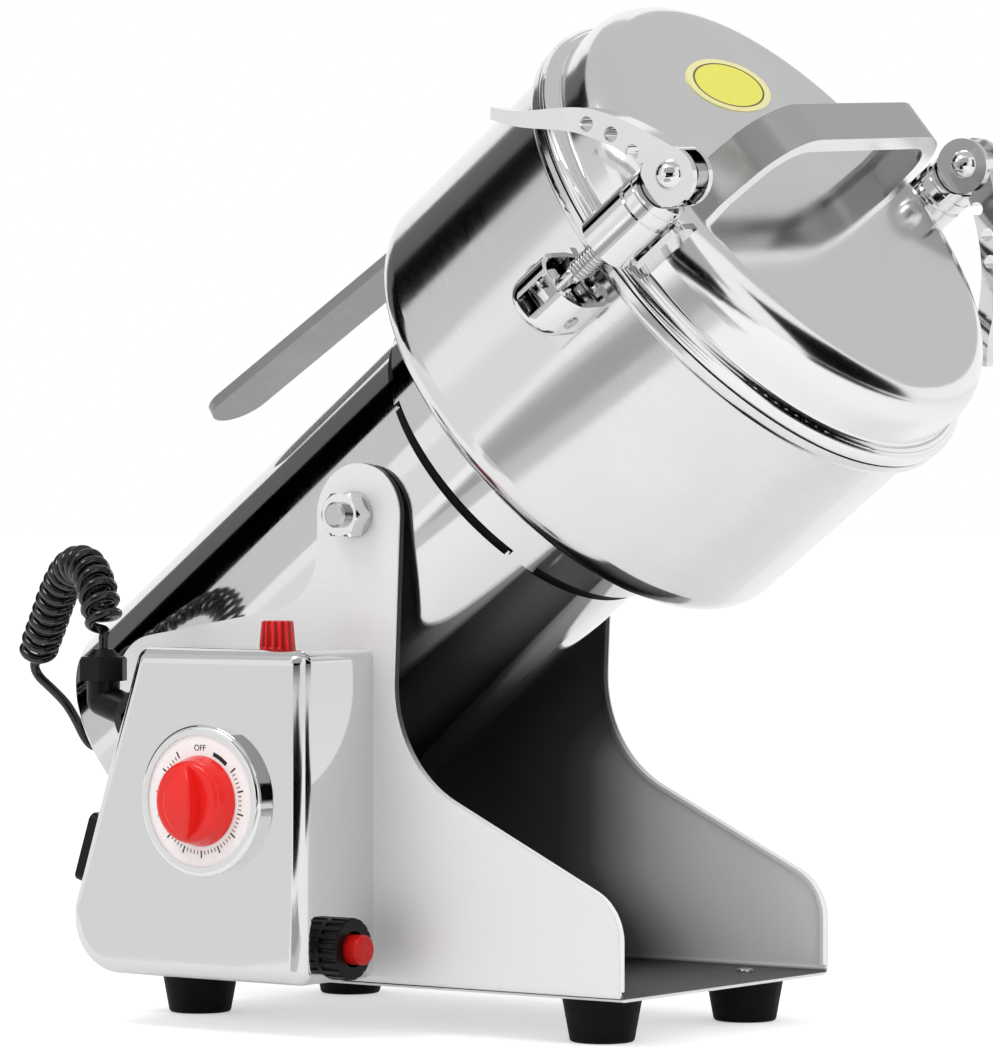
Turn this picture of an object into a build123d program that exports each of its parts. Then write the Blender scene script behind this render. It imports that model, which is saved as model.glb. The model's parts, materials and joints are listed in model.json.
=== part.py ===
from build123d import *
import os
from math import cos, pi, sin, sqrt, tau

# Electric spice grinder: a bowl on a motor barrel that tips between the ears of a folded channel base.
# Z is up, Y runs along the tipping axis and X points to the pouring side.
# The origin lies on the standing surface, midway between the four feet.

# Clearances that every piece shares
overrun = 1.0
part_gap = 0.3
running_gap = 0.05
straight_share = 0.000001

# Channel base
base_length = 245.0
base_sheet = 1.5
base_bend = 4.0
lip_depth = 3.5
nose_z = 53.0
nose_radius = 21.0
throat_x = 15.5
throat_z = 104.0
throat_radius = 49.0
shoulder_z = 166.0
shoulder_drop = 17.0
neck_radius = 25.0
rear_radius = 20.0
ear_radius = 20.0
ear_offset = 2.0

# Feet and their screws
foot_height = 17.5
foot_top_radius = 15.5
foot_low_radius = 12.3
foot_inset_x = 24.0
foot_inset_y = 23.5
foot_edge = 1.5
screw_radius = 2.0
screw_head_radius = 3.4
screw_head_height = 1.4
screw_round_share = 0.6
foot_screw_length = 11.0

# Tipping pivot
pivot_x = -2.5
pivot_z = 200.0
tilt = 52.8
stud_radius = 5.0
bush_wall = 2.0
bush_flange = 13.0
washer_radius = 9.0
washer_thick = 1.5
nut_across = 16.5
nut_thick = 7.5
stud_tip = 3.5
block_size = 30.0
block_depth = 14.0
barrel_side_gap = 2.7

# Control box
box_depth = 45.0
box_right = 7.0
box_top = 148.5
box_low = 20.5
box_top_left = -75.5
box_low_left = -117.5
box_low_radius = 22.0
box_corner = 5.0
box_edge = 6.0
box_sheet = 1.5
box_flange = 9.0
box_screw_inset = 6.0

# Timer
dial_x = -39.0
dial_z = 90.0
bezel_radius = 29.4
bezel_wall = 3.8
bezel_height = 5.2
bezel_edge = 1.8
dial_recess = 0.8
knob_radius = 17.5
knob_taper = 2.2
knob_height = 8.5
knob_edge = 3.0
grip_width = 13.0
grip_height = 6.0
grip_arch = 24.0
grip_edge = 1.0
timer_shaft_radius = 3.0
timer_body_width = 44.0
timer_body_depth = 24.0
shaft_depth = 12.0

# Indicator lamp
lamp_x = -16.0
lamp_inset = 14.5
lamp_radius = 7.0
lamp_taper = 0.9
lamp_height = 10.8
lamp_flutes = 14
lamp_flute_radius = 0.8
lamp_stem_radius = 4.5
lamp_stem = 18.0

# Overload breaker
reset_inset = 21.0
reset_z = 34.0
ring_radius = 12.0
ring_bore = 7.0
ring_depth = 9.0
ring_flutes = 20
ring_flute_radius = 1.0
reset_radius = 5.8
reset_height = 6.0
reset_travel = 3.0
reset_edge = 1.6
breaker_width = 16.0
breaker_length = 34.0
neck_wall = 1.0

# Mains inlet
inlet_inset = 21.5
inlet_z = 68.0
inlet_width = 33.0
inlet_height = 28.0
inlet_flange = 5.0
inlet_depth = 20.0
inlet_wall = 2.5
inlet_corner = 3.0
socket_depth = 15.0
pin_thick = 2.0
pin_width = 4.0
pin_pitch = 7.0
pin_rise = 2.0
pin_length = 9.0

# Elbow gland on the control box and grommet in the end cap
gland_inset = 12.0
gland_z = 121.5
gland_across = 17.0
gland_flange = 4.0
gland_reach = 18.0
gland_radius = 6.5
gland_thread = 8.0
gland_neck = 7.5
gland_nut = 9.5
gland_dome = 3.0
gland_mouth = 4.0
grommet_x = -14.0
grommet_inset = 18.8
grommet_radius = 8.0
grommet_bore_radius = 5.5
grommet_thick = 2.5
grommet_taper = 2.5

# Motor barrel and its rear end cap
barrel_radius = 68.8
barrel_wall = 1.5
barrel_top = 38.0
cap_low = -167.0
cap_rim = 4.0
cap_edge = 1.5
cap_recess = 7.0
cap_wall = 2.0
cap_spigot = 10.0
cap_slots = 10
cap_slot_width = 5.0
cap_slot_inner = 32.0
cap_slot_inset = 14.8
cap_screw_circle = 24.0
cap_screw_count = 3

# Vented collar under the bowl
collar_proud = 3.0
collar_wall = 2.5
collar_flange = 28.0
collar_flange_thick = 3.0
vent_height = 3.0
vent_count = 5
vent_tab = 9.6
vent_turn = 29.3
collar_screw_inset = 18.8
collar_screw_count = 4

# Bowl
bowl_turn = 5.3
bowl_low = 64.7
bowl_radius = 102.3
bowl_wall = 1.2
bowl_corner = 14.0
bead_proud = 4.5
bead_low = 163.5
bead_top = 169.9
seal_radius = 13.0
seal_flange = 17.0
seal_height = 5.0
seal_lip = 2.0

# Lid
gasket_thick = 0.8
lid_inset = 0.8
lid_wall = 1.2
lid_bead_top = 176.2
lid_top = 201.5
lid_shoulder = 15.0
lid_flare = 2.0
plug_gap = 0.5
plug_low = 162.0
label_length = 58.0
label_width = 26.0
label_thick = 0.4
label_inset = 47.5
label_y = 1.6

# Strap handle on the lid
strap_x = -5.5
strap_width = 17.5
strap_height = 37.5
strap_inset = 33.5
strap_lean = 6.0
strap_sheet = 2.0
strap_depth = 7.0
strap_bend = 24.0

# Pour handle under the bowl
bar_width = 28.0
bar_thick = 4.0
bar_clear = 1.2
bar_knee_inset = 5.3
bar_tip_out = 6.2
bar_low = -76.0
bar_bend_share = 0.375

# Clamps
clamp_out = 12.2
pocket_z = 147.0
pocket_low = 131.0
pocket_high = 158.5
pocket_width = 26.0
pocket_sheet = 2.0
cup_low = 135.5
cup_high = 156.0
cup_radius = 12.8
cup_round = 6.0
pocket_pin_radius = 3.0
pocket_pin_proud = 0.5
bolt_radius = 3.8
bolt_barrel_radius = 6.5
bolt_barrel_length = 15.0
bolt_eye_radius = 5.6
bolt_eye_width = 7.0
sleeve_radius = 11.5
sleeve_low = 177.0
sleeve_high = 203.5
sleeve_groove = 1.0
sleeve_groove_width = 2.0
saddle_radius = 11.0
saddle_rim = 3.0
cam_z = 217.0
cam_radius = 11.0
cam_throw = 1.0
cam_width = 14.0
cam_pin_radius = 3.0
cam_rivet_radius = 5.6
cam_rivet_height = 4.0
lever_length = 82.0
lever_width = 10.0
lever_hole_radius = 2.8
fork_turn = -15.0

# Ears on the lid that the sleeves press on
lid_ear_width = 18.0
lid_ear_reach = 6.2
lid_ear_low = 178.3
lid_ear_rise = 1.2
cheek_sheet = 2.5
cheek_reach = 11.0
cheek_high = 204.0

# Motor
shaft_radius = 6.0
shaft_low = -126.0
shaft_high = 133.0
bearing_radius = 16.0
bearing_width = 10.0
rear_bearing_z = -124.0
front_bearing_z = 14.0
bracket_thick = 4.0
bracket_boss = 21.0
bracket_windows = 4
window_inner = 26.0
window_rim = 11.3
window_angle = 50.0
stator_gap = 5.3
stator_bore = 33.0
stator_low = -95.0
stator_high = -38.0
stator_slots = 8
stator_slot_width = 7.0
stator_slot_depth = 15.0
armature_radius = 32.0
armature_slots = 12
armature_slot_width = 3.0
armature_slot_depth = 10.0
commutator_radius = 15.0
commutator_low = -33.0
commutator_high = -15.0
brush_width = 8.0
brush_length = 18.0
brush_z = -25.0
holder_wall = 2.0
fan_clearance = 17.3
fan_hub = 14.0
fan_low = -10.0
fan_height = 14.0
fan_plate = 2.0
fan_blades = 9
fan_sheet = 1.6

# Cutters in the bowl
cutter_count = 3
cutter_low = 76.0
cutter_rise = 22.0
cutter_gap = 12.0
cutter_step = 9.5
cutter_start = 20.0
cutter_angle = 60.0
cutter_width = 24.0
cutter_tip = 12.0
cutter_thick = 2.4
spacer_radius = 11.0
cutter_nut_across = 19.0
cutter_nut_height = 9.0

# Curly cord, with the corners of its route between the gland and the grommet
wire_radius = 1.9
coil_radius = 6.2
coil_turns = 18
coil_ramp = 9.0
tail_length = 56.0
tail_arcs = 9
route_steps = 40
cord_route = (
    (-104.5, -104.2, 164.5),
    (-111.0, -99.5, 173.0),
    (-122.5, -92.0, 180.5),
    (-137.0, -84.5, 179.0),
    (-150.0, -77.5, 168.0),
    (-160.5, -71.0, 156.5),
    (-171.0, -65.0, 145.5),
    (-178.5, -60.5, 136.0),
    (-167.0, -58.5, 127.0),
    (-160.5, -57.0, 120.5),
    (-155.0, -51.0, 103.5),
)

# Sizes that follow from the ones above
base_width = 2 * (barrel_radius + barrel_side_gap + base_sheet)
half_length = base_length / 2
half_width = base_width / 2
wall_inner = half_width - base_sheet
floor_low = foot_height
floor_top = floor_low + base_sheet
ear_x = pivot_x + ear_offset
box_front = -half_width - box_depth
lamp_y = box_front + lamp_inset
reset_y = box_front + reset_inset
inlet_y = box_front + inlet_inset
gland_y = box_front + gland_inset
barrel_bore = barrel_radius - barrel_wall
grommet_y = grommet_inset - barrel_radius
stator_radius = barrel_bore - stator_gap
fan_radius = barrel_bore - fan_clearance
window_outer = barrel_bore - window_rim
cap_top = cap_low + cap_rim
cap_plate = cap_low + cap_recess
cap_slot_outer = barrel_radius - cap_slot_inset
collar_radius = barrel_radius + collar_proud
collar_screw_circle = collar_radius - collar_screw_inset
bead_radius = bowl_radius + bead_proud
bowl_bore = bowl_radius - bowl_wall
bar_root = collar_radius + bar_clear
bar_knee = bowl_radius - bar_knee_inset
bar_tip = bowl_radius + bar_tip_out
bar_bend = bar_bend_share * (bar_knee - bar_root)
clamp_circle = bowl_radius + clamp_out
lid_radius = bowl_radius - lid_inset
label_x = label_inset - lid_radius
strap_foot = lid_radius - strap_inset
strap_top = strap_foot - strap_lean
lid_low = bead_top + part_gap + gasket_thick
plug_radius = bowl_bore - plug_gap
bush_radius = stud_radius + bush_wall
cam_reach = cam_radius + cam_throw
cutter_levels = [cutter_low + cutter_rise * k for k in range(cutter_count)]

# Frames: the tipped unit, and the bowl turned on it
on_base = (Align.CENTER, Align.CENTER, Align.MIN)
swing = Location((pivot_x, 0, pivot_z), (0, tilt, 0))
bowl_frame = swing * Location((0, 0, 0), (0, 0, bowl_turn))
half_turn = Location((0, 0, 0), (0, 0, 180))


def disc(radius, low, high):
    return Pos(0, 0, low) * Cylinder(radius, high - low, align=on_base)


def ring(outer, inner, low, high):
    return disc(outer, low, high) - disc(inner, low - overrun, high + overrun)


def cone(low_radius, high_radius, low, high):
    return Pos(0, 0, low) * Cone(low_radius, high_radius, high - low, align=on_base)


def hexagon(across, low, high):
    prism = extrude(RegularPolygon(across / 2, 6, major_radius=False), high - low)
    return Pos(0, 0, low) * prism


def chamfered_hexagon(across, low, high):
    point = across / (2 * cos(pi / 6))
    height = high - low
    cap = cone(point + height, across / 2, low, high)
    return hexagon(across, low, high) & cap


def ring_sector(outer, inner, span, height):
    sector = Cylinder(outer, height, arc_size=span, align=(Align.NONE, Align.NONE, Align.MIN))
    return sector - disc(inner, -overrun, height + overrun)


def slab(size_x, size_y, low, high):
    return Pos(0, 0, low) * Box(size_x, size_y, high - low, align=on_base)


def turned(points, radii):
    outline = FilletPolyline(*points, radius=radii, close=True)
    return revolve(Plane.XZ * make_face(outline), Axis.Z)


def around(count, piece):
    return [Rot(0, 0, 360 * k / count) * piece for k in range(count)]


def screw(length):
    head = disc(screw_head_radius, 0, screw_head_height)
    head = fillet(head.edges().group_by(Axis.Z)[-1], screw_head_height * screw_round_share)
    return head + disc(screw_radius, -length, 0)


# Base
def wall_face():
    right = ear_x + ear_radius
    left = ear_x - ear_radius
    front = FilletPolyline(
        (half_length, floor_low), (half_length, nose_z), (throat_x, throat_z), (right, pivot_z),
        radius=[nose_radius, throat_radius],
    )
    crown = ThreePointArc((right, pivot_z), (ear_x, pivot_z + ear_radius), (left, pivot_z))
    rear = FilletPolyline(
        (left, pivot_z), (left, shoulder_z), (-half_length, shoulder_z - shoulder_drop),
        (-half_length, floor_low), radius=[neck_radius, rear_radius],
    )
    sill = Line((-half_length, floor_low), (half_length, floor_low))
    return make_face(front.edges() + crown.edges() + rear.edges() + sill.edges())


def foot_places():
    reach_x = half_length - foot_inset_x
    reach_y = half_width - foot_inset_y
    return [(x * reach_x, y * reach_y) for x in (1, -1) for y in (1, -1)]


def box_screw_places():
    x = box_right - box_sheet - box_screw_inset
    low = box_low + box_sheet + box_screw_inset
    high = box_top - box_sheet - box_screw_inset
    lean = (box_top_left - box_low_left) / (box_top - box_low)
    high_left = box_top_left - lean * (box_top - high) + box_sheet + box_screw_inset
    low_left = box_low_left + box_low_radius
    return [(x, low), (x, high), (high_left, high), (low_left, low)]


def base_frame():
    tall = pivot_z + ear_radius + overrun
    outer = Pos(0, (floor_low + tall) / 2) * Rectangle(base_width, tall - floor_low)
    outer = fillet(outer.vertices().group_by(Axis.Y)[0], base_bend)
    inner = Pos(0, (floor_top + tall + overrun) / 2) * Rectangle(2 * wall_inner, tall + overrun - floor_top)
    inner = fillet(inner.vertices().group_by(Axis.Y)[0], base_bend - base_sheet)
    channel = extrude(Plane.YZ * (outer - inner), half_length, both=True)
    face = wall_face()
    trim = extrude(Plane.XZ * face, half_width + overrun, both=True)
    frame = channel & trim
    rim = face - offset(face, -base_sheet)
    lip = extrude(Plane.XZ * rim, lip_depth)
    lip = lip - slab(base_length, base_width, 0, floor_low + base_bend)
    near_lip = Pos(0, -half_width + lip_depth, 0) * lip
    far_lip = Pos(0, half_width, 0) * lip
    frame = frame + near_lip + far_lip
    bore = Cylinder(bush_radius, base_width + overrun)
    frame = frame - Pos(pivot_x, 0, pivot_z) * Rot(90, 0, 0) * bore
    for x, y in foot_places():
        frame = frame - Pos(x, y, 0) * disc(screw_radius, 0, floor_top + overrun)
    for x, z in box_screw_places():
        hole = Cylinder(screw_radius, box_depth)
        frame = frame - Pos(x, -half_width, z) * Rot(90, 0, 0) * hole
    return frame


def rubber_feet():
    foot = cone(foot_low_radius, foot_top_radius, 0, foot_height)
    foot = fillet(foot.edges().group_by(Axis.Z)[0], foot_edge)
    foot = foot - disc(screw_radius, floor_top - foot_screw_length, foot_height + overrun)
    return [Pos(x, y, 0) * foot for x, y in foot_places()]


def foot_screws():
    return [Pos(x, y, floor_top) * screw(foot_screw_length) for x, y in foot_places()]


def pivot_side(piece):
    near = Pos(pivot_x, 0, pivot_z) * Rot(90, 0, 0) * piece
    far = Pos(pivot_x, 0, pivot_z) * Rot(-90, 0, 0) * piece
    return [near, far]


def pivot_bushes():
    flange = ring(bush_flange, stud_radius + running_gap, barrel_radius + part_gap, wall_inner)
    sleeve = ring(bush_radius, stud_radius + running_gap, wall_inner, half_width)
    return pivot_side(flange + sleeve)


# Control box
def box_outline():
    return FilletPolyline(
        (box_right, box_top), (box_top_left, box_top), (box_low_left, box_low), (box_right, box_low),
        radius=[box_corner, box_corner, box_low_radius, box_corner], close=True,
    )


def box_slice(inset, near, far):
    face = make_face(box_outline())
    if inset > 0:
        face = offset(face, -inset)
    return Pos(0, far, 0) * extrude(Plane.XZ * face, far - near)


def front_plane(x, z):
    return Plane(origin=(x, box_front, z), x_dir=(1, 0, 0), z_dir=(0, -1, 0))


def side_plane():
    return Plane(origin=(box_right, reset_y, reset_z), x_dir=(0, 1, 0), z_dir=(1, 0, 0))


def lamp_plane():
    return Plane(origin=(lamp_x, lamp_y, box_top), x_dir=(1, 0, 0), z_dir=(0, 0, 1))


def rear_plane(y, z):
    lean = (box_top_left - box_low_left) / (box_top - box_low)
    x = box_low_left + lean * (z - box_low)
    return Plane(origin=(x, y, z), x_dir=(0, 1, 0), z_dir=(-1, 0, lean))


def control_box():
    shell = box_slice(0, box_front, -half_width)
    shell = fillet(shell.edges().group_by(Axis.Y)[0], box_edge)
    hollow = box_slice(box_sheet, box_front + box_sheet, -half_width - box_sheet)
    hollow = fillet(hollow.edges().group_by(Axis.Y)[0], box_edge - box_sheet)
    mouth = box_slice(box_sheet + box_flange, -half_width - box_sheet - overrun, -half_width + overrun)
    shell = shell - hollow - mouth
    hole = Rot(90, 0, 0) * Cylinder(screw_radius, 2 * box_sheet + overrun)
    for x, z in box_screw_places():
        shell = shell - Pos(x, -half_width, z) * hole
    cut = box_sheet + overrun
    shell = shell - front_plane(dial_x, dial_z) * disc(timer_shaft_radius + part_gap, -cut, cut)
    shell = shell - lamp_plane() * disc(lamp_stem_radius, -cut, cut)
    shell = shell - side_plane() * disc(ring_bore + neck_wall, -cut, cut)
    window = slab(inlet_width - 2 * inlet_wall, inlet_height - 2 * inlet_wall, -cut, cut)
    shell = shell - rear_plane(inlet_y, inlet_z) * window
    shell = shell - rear_plane(gland_y, gland_z) * disc(gland_radius, -cut, cut)
    return shell


def box_screws():
    seat = Plane(origin=(0, -wall_inner, 0), x_dir=(1, 0, 0), z_dir=(0, 1, 0))
    piece = screw(base_sheet + box_sheet + overrun)
    return [seat * Pos(x, -z, 0) * piece for x, z in box_screw_places()]


# Timer
def timer_body():
    low = -box_sheet - timer_body_depth
    body = slab(timer_body_width, timer_body_width, low, -box_sheet)
    body = body - disc(timer_shaft_radius + running_gap, low + overrun, overrun)
    return front_plane(dial_x, dial_z) * body


def dial_plate():
    plate = ring(bezel_radius - bezel_wall, timer_shaft_radius + part_gap, 0, bezel_height - dial_recess)
    return front_plane(dial_x, dial_z) * plate


def dial_bezel():
    bezel = ring(bezel_radius, bezel_radius - bezel_wall, 0, bezel_height)
    outer_edge = bezel.edges().group_by(Axis.Z)[-1].sort_by(SortBy.RADIUS)[-1]
    return front_plane(dial_x, dial_z) * fillet(outer_edge, bezel_edge)


def timer_knob():
    low = bezel_height - dial_recess + part_gap
    high = low + knob_height
    knob = cone(knob_radius, knob_radius - knob_taper, low, high)
    knob = fillet(knob.edges().group_by(Axis.Z)[-1], knob_edge)
    knob = knob + knob_grip(low, high + grip_height)
    knob = knob - disc(timer_shaft_radius, low - overrun, low + knob_height)
    return front_plane(dial_x, dial_z) * knob


def knob_grip(low, high):
    # A lens in plan, arched from end to end
    half = knob_radius - knob_taper
    bow = (half * half / grip_width) + grip_width / 4
    side = disc(bow, low, high)
    lens = Pos(bow - grip_width / 2, 0, 0) * side & Pos(grip_width / 2 - bow, 0, 0) * side
    arch = Pos(0, 0, high - grip_arch) * Rot(0, 90, 0) * Cylinder(grip_arch, 2 * knob_radius)
    grip = lens & arch
    return fillet(grip.edges().filter_by(GeomType.CIRCLE, reverse=True).group_by(Axis.Z)[-1], grip_edge)


def timer_shaft():
    high = bezel_height - dial_recess + part_gap + knob_height
    return front_plane(dial_x, dial_z) * disc(timer_shaft_radius, -box_sheet - shaft_depth, high)


# Lamp
def indicator_lamp():
    lens = cone(lamp_radius, lamp_radius - lamp_taper, 0, lamp_height)
    lens = fillet(lens.edges().group_by(Axis.Z)[-1], lamp_taper)
    flute = Pos(lamp_radius, 0, lamp_taper) * Cylinder(lamp_flute_radius, lamp_height, align=on_base)
    for cut in around(lamp_flutes, flute):
        lens = lens - cut
    stem = disc(lamp_stem_radius, -lamp_stem, 0)
    return lamp_plane() * (lens + stem)


# Overload breaker
def breaker_ring():
    collar = ring(ring_radius, ring_bore, 0, ring_depth)
    collar = fillet(collar.edges().group_by(Axis.Z)[-1].sort_by(SortBy.RADIUS)[-1], ring_flute_radius)
    flute = Pos(ring_radius, 0, ring_flute_radius) * Cylinder(ring_flute_radius, ring_depth, align=on_base)
    for cut in around(ring_flutes, flute):
        collar = collar - cut
    return side_plane() * collar


def breaker_body():
    low = -box_sheet - breaker_length
    body = slab(breaker_width, breaker_width, low, -box_sheet)
    neck = disc(ring_bore + neck_wall, -box_sheet - overrun, 0)
    bore = disc(reset_radius + part_gap, -box_sheet - reset_travel - ring_depth, overrun)
    return side_plane() * (body + neck - bore)


def reset_button():
    low = -box_sheet - ring_depth + part_gap
    button = disc(reset_radius, low, ring_depth + reset_height)
    button = fillet(button.edges().group_by(Axis.Z)[-1], reset_edge)
    return side_plane() * button


# Mains inlet
def power_inlet():
    plate = extrude(RectangleRounded(inlet_width, inlet_height, inlet_corner), inlet_flange)
    body = slab(inlet_width - 2 * inlet_wall, inlet_height - 2 * inlet_wall, -inlet_depth, 0)
    body = body + plate
    socket_width = inlet_width - 4 * inlet_wall
    socket_height = inlet_height - 4 * inlet_wall
    socket = slab(socket_width, socket_height, inlet_flange - socket_depth, inlet_flange + overrun)
    upper = socket.edges().filter_by(Axis.Z).group_by(Axis.Y)[-1]
    socket = chamfer(upper, inlet_corner)
    body = body - socket
    for x, y in pin_places():
        hole = slab(pin_thick, pin_width, -inlet_depth - overrun, 0)
        body = body - Pos(x, y, 0) * hole
    return rear_plane(inlet_y, inlet_z) * body


def pin_places():
    return [(-pin_pitch, -pin_rise), (0, pin_rise), (pin_pitch, -pin_rise)]


def inlet_pins():
    low = -inlet_depth
    pin = slab(pin_thick, pin_width, low, inlet_flange - socket_depth + pin_length)
    return [rear_plane(inlet_y, inlet_z) * Pos(x, y, 0) * pin for x, y in pin_places()]


# Elbow gland and grommet
def gland_corner():
    face = rear_plane(gland_y, gland_z)
    return face.origin + face.z_dir * gland_reach


def gland_exit():
    return gland_corner() + Vector(0, 0, gland_neck + gland_nut + gland_dome)


def cable_gland():
    flange = chamfered_hexagon(gland_across, 0, gland_flange)
    arm = disc(gland_radius, -gland_thread, gland_reach)
    gland = rear_plane(gland_y, gland_z) * (flange + arm)
    nut_top = gland_neck + gland_nut
    riser = Sphere(gland_radius) + disc(gland_radius, 0, gland_neck)
    riser = riser + chamfered_hexagon(gland_across, gland_neck, nut_top)
    riser = riser + cone(gland_radius, gland_mouth, nut_top, nut_top + gland_dome)
    return gland + Pos(gland_corner()) * riser


def grommet_height():
    return grommet_thick + grommet_taper


def cord_grommet():
    collar = ring(grommet_radius, wire_radius, 0, grommet_thick)
    collar = collar + ring(grommet_bore_radius, wire_radius, -cap_wall - grommet_thick, 0)
    nose = cone(grommet_radius, gland_mouth, grommet_thick, grommet_height())
    nose = nose - disc(wire_radius, 0, grommet_height() + overrun)
    return swing * Pos(grommet_x, grommet_y, cap_plate) * Rot(180, 0, 0) * (collar + nose)


# Swing unit
def cross_bore(radius):
    return Rot(90, 0, 0) * Cylinder(radius, base_width)


def motor_barrel():
    tube = ring(barrel_radius, barrel_bore, cap_top, barrel_top)
    return swing * (tube - cross_bore(stud_radius))


def barrel_end_cap():
    skirt = barrel_bore - cap_wall
    cap = turned(
        [(0, cap_plate), (skirt, cap_plate), (skirt, cap_low), (barrel_radius, cap_low),
         (barrel_radius, cap_top), (barrel_bore, cap_top), (barrel_bore, cap_top + cap_spigot),
         (skirt, cap_top + cap_spigot), (skirt, cap_plate + cap_wall), (0, cap_plate + cap_wall)],
        [0, 0, 0, cap_edge, 0, 0, 0, 0, 0, 0],
    )
    low = cap_plate - overrun
    middle = (cap_slot_inner + cap_slot_outer) / 2
    slot = SlotOverall(cap_slot_outer - cap_slot_inner, cap_slot_width)
    slot = Pos(middle, 0, low) * extrude(slot, cap_wall + 2 * overrun)
    step = 360 / cap_slots
    for k in range(cap_slots):
        if abs(k * step - 270) > step:
            cap = cap - Rot(0, 0, k * step) * slot
    high = cap_plate + cap_wall + overrun
    cap = cap - Pos(grommet_x, grommet_y, 0) * disc(grommet_bore_radius, low, high)
    for x, y in cap_screw_places():
        cap = cap - Pos(x, y, 0) * disc(screw_radius, low, high)
    return swing * cap


def cap_screw_places():
    step = tau / cap_screw_count
    turns = [step * (k + 1 / 4) for k in range(cap_screw_count)]
    return [(cap_screw_circle * cos(a), cap_screw_circle * sin(a)) for a in turns]


def end_cap_screws():
    length = rear_bearing_z - cap_plate - cap_wall
    piece = Rot(180, 0, 0) * screw(length)
    return [swing * Pos(x, y, cap_plate) * piece for x, y in cap_screw_places()]


def cap_posts():
    low = cap_plate + cap_wall
    post = ring(2 * screw_radius, screw_radius, low, rear_bearing_z)
    return [Pos(x, y, 0) * post for x, y in cap_screw_places()]


def pivot_blocks():
    block = slab(block_size, block_size, barrel_bore - block_depth, barrel_radius)
    block = block - disc(stud_radius, 0, barrel_radius + overrun)
    shape = disc(barrel_bore, -block_size, block_size)
    near = Rot(90, 0, 0) * block & shape
    far = Rot(-90, 0, 0) * block & shape
    return [swing * near, swing * far]


def pivot_studs():
    tip = half_width + part_gap + washer_thick + nut_thick + stud_tip
    stud = disc(stud_radius, barrel_bore - block_depth, tip)
    stud = chamfer(stud.edges().group_by(Axis.Z)[-1], stud_tip / 4)
    return pivot_side(stud)


def pivot_washers():
    low = half_width + part_gap
    return pivot_side(ring(washer_radius, stud_radius, low, low + washer_thick))


def pivot_nuts():
    low = half_width + part_gap + washer_thick
    high = low + nut_thick
    nut = chamfered_hexagon(nut_across, low, high)
    return pivot_side(nut - disc(stud_radius, low - overrun, high + overrun))


def vent_collar():
    collar = ring(collar_radius, barrel_bore - collar_wall, barrel_top, bowl_low)
    inner = collar_radius - collar_flange
    collar = collar + ring(collar_radius, inner, bowl_low - collar_flange_thick, bowl_low)
    span = 360 / vent_count - vent_tab
    inside = barrel_bore - collar_wall - overrun
    sector = ring_sector(collar_radius + overrun, inside, span, vent_height + overrun)
    for k in range(vent_count):
        turn = vent_turn + vent_tab / 2 + k * 360 / vent_count
        collar = collar - Rot(0, 0, turn) * Pos(0, 0, barrel_top - overrun) * sector
    for x, y in collar_screw_places():
        collar = collar - Pos(x, y, 0) * disc(screw_radius, barrel_top, bowl_low + overrun)
    return swing * collar


def collar_screw_places():
    step = tau / collar_screw_count
    turns = [step * (k + 1 / 2) for k in range(collar_screw_count)]
    return [(collar_screw_circle * cos(a), collar_screw_circle * sin(a)) for a in turns]


def collar_screws():
    length = bowl_wall + collar_flange_thick + 2 * screw_radius
    return [swing * Pos(x, y, bowl_low + bowl_wall) * screw(length) for x, y in collar_screw_places()]


def bowl():
    floor = bowl_low + bowl_wall
    shell = turned(
        [(0, bowl_low), (bowl_radius, bowl_low), (bowl_radius, bead_low), (bead_radius, bead_low),
         (bead_radius, bead_top), (bowl_bore, bead_top), (bowl_bore, floor), (0, floor)],
        [0, bowl_corner, 0, bead_proud - part_gap, 0, 0, bowl_corner - bowl_wall, 0],
    )
    shell = shell - disc(seal_radius, bowl_low - overrun, floor + overrun)
    for x, y in collar_screw_places():
        shell = shell - Pos(x, y, 0) * disc(screw_radius, bowl_low - overrun, floor + overrun)
    return swing * shell


def shaft_seal():
    floor = bowl_low + bowl_wall
    seal = ring(seal_flange, shaft_radius + running_gap, floor, floor + seal_lip)
    seal = seal + ring(seal_radius, shaft_radius + running_gap, bowl_low - seal_height, floor)
    return swing * seal


def pour_handle():
    mid = bowl_low - bar_thick / 2
    path = FilletPolyline((-bar_root, mid), (-bar_knee, mid), (-bar_tip, bar_low), radius=[bar_bend])
    section = trace(path, bar_thick)
    bar = extrude(Plane.XZ * section, bar_width / 2, both=True)
    corners = bar.edges().filter_by(lambda e: e.length < 2 * bar_thick).group_by(Axis.Z)[0]
    bar = fillet(corners, bar_width / 2 - part_gap)
    return swing * bar


# Clamps, built on the near side and turned half round for the far side
def clamp_pair(piece):
    return [bowl_frame * piece, bowl_frame * half_turn * piece]


def cup_shape(radius, low, high):
    # Round outside and straight-sided back to the bowl
    block = Pos(0, -clamp_circle / 2, low) * Box(2 * radius, clamp_circle, high - low, align=on_base)
    return block + Pos(0, -clamp_circle, 0) * disc(radius, low, high)


def pocket_shape():
    cup = cup_shape(cup_radius, cup_low, cup_high)
    cup = fillet(cup.edges().group_by(Axis.Z)[0], cup_round)
    cup = cup - cup_shape(cup_radius - pocket_sheet, cup_low + pocket_sheet, cup_high + overrun)
    slot_low = pocket_z - bolt_barrel_radius - 2 * part_gap
    slot = Pos(0, -clamp_circle, slot_low) * Box(
        2 * bolt_radius + 2 * part_gap, 4 * cup_radius, cup_high - slot_low + overrun, align=on_base)
    plate = ring(bowl_radius + pocket_sheet, bowl_radius, pocket_low, pocket_high)
    near = Pos(0, -bowl_radius, 0) * slab(pocket_width, bowl_radius, pocket_low, pocket_high)
    pocket = cup - slot + (plate & near)
    pocket = pocket - disc(bowl_radius, pocket_low - overrun, pocket_high + overrun)
    return pocket - pocket_axis() * Cylinder(pocket_pin_radius, 4 * cup_radius)


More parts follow.
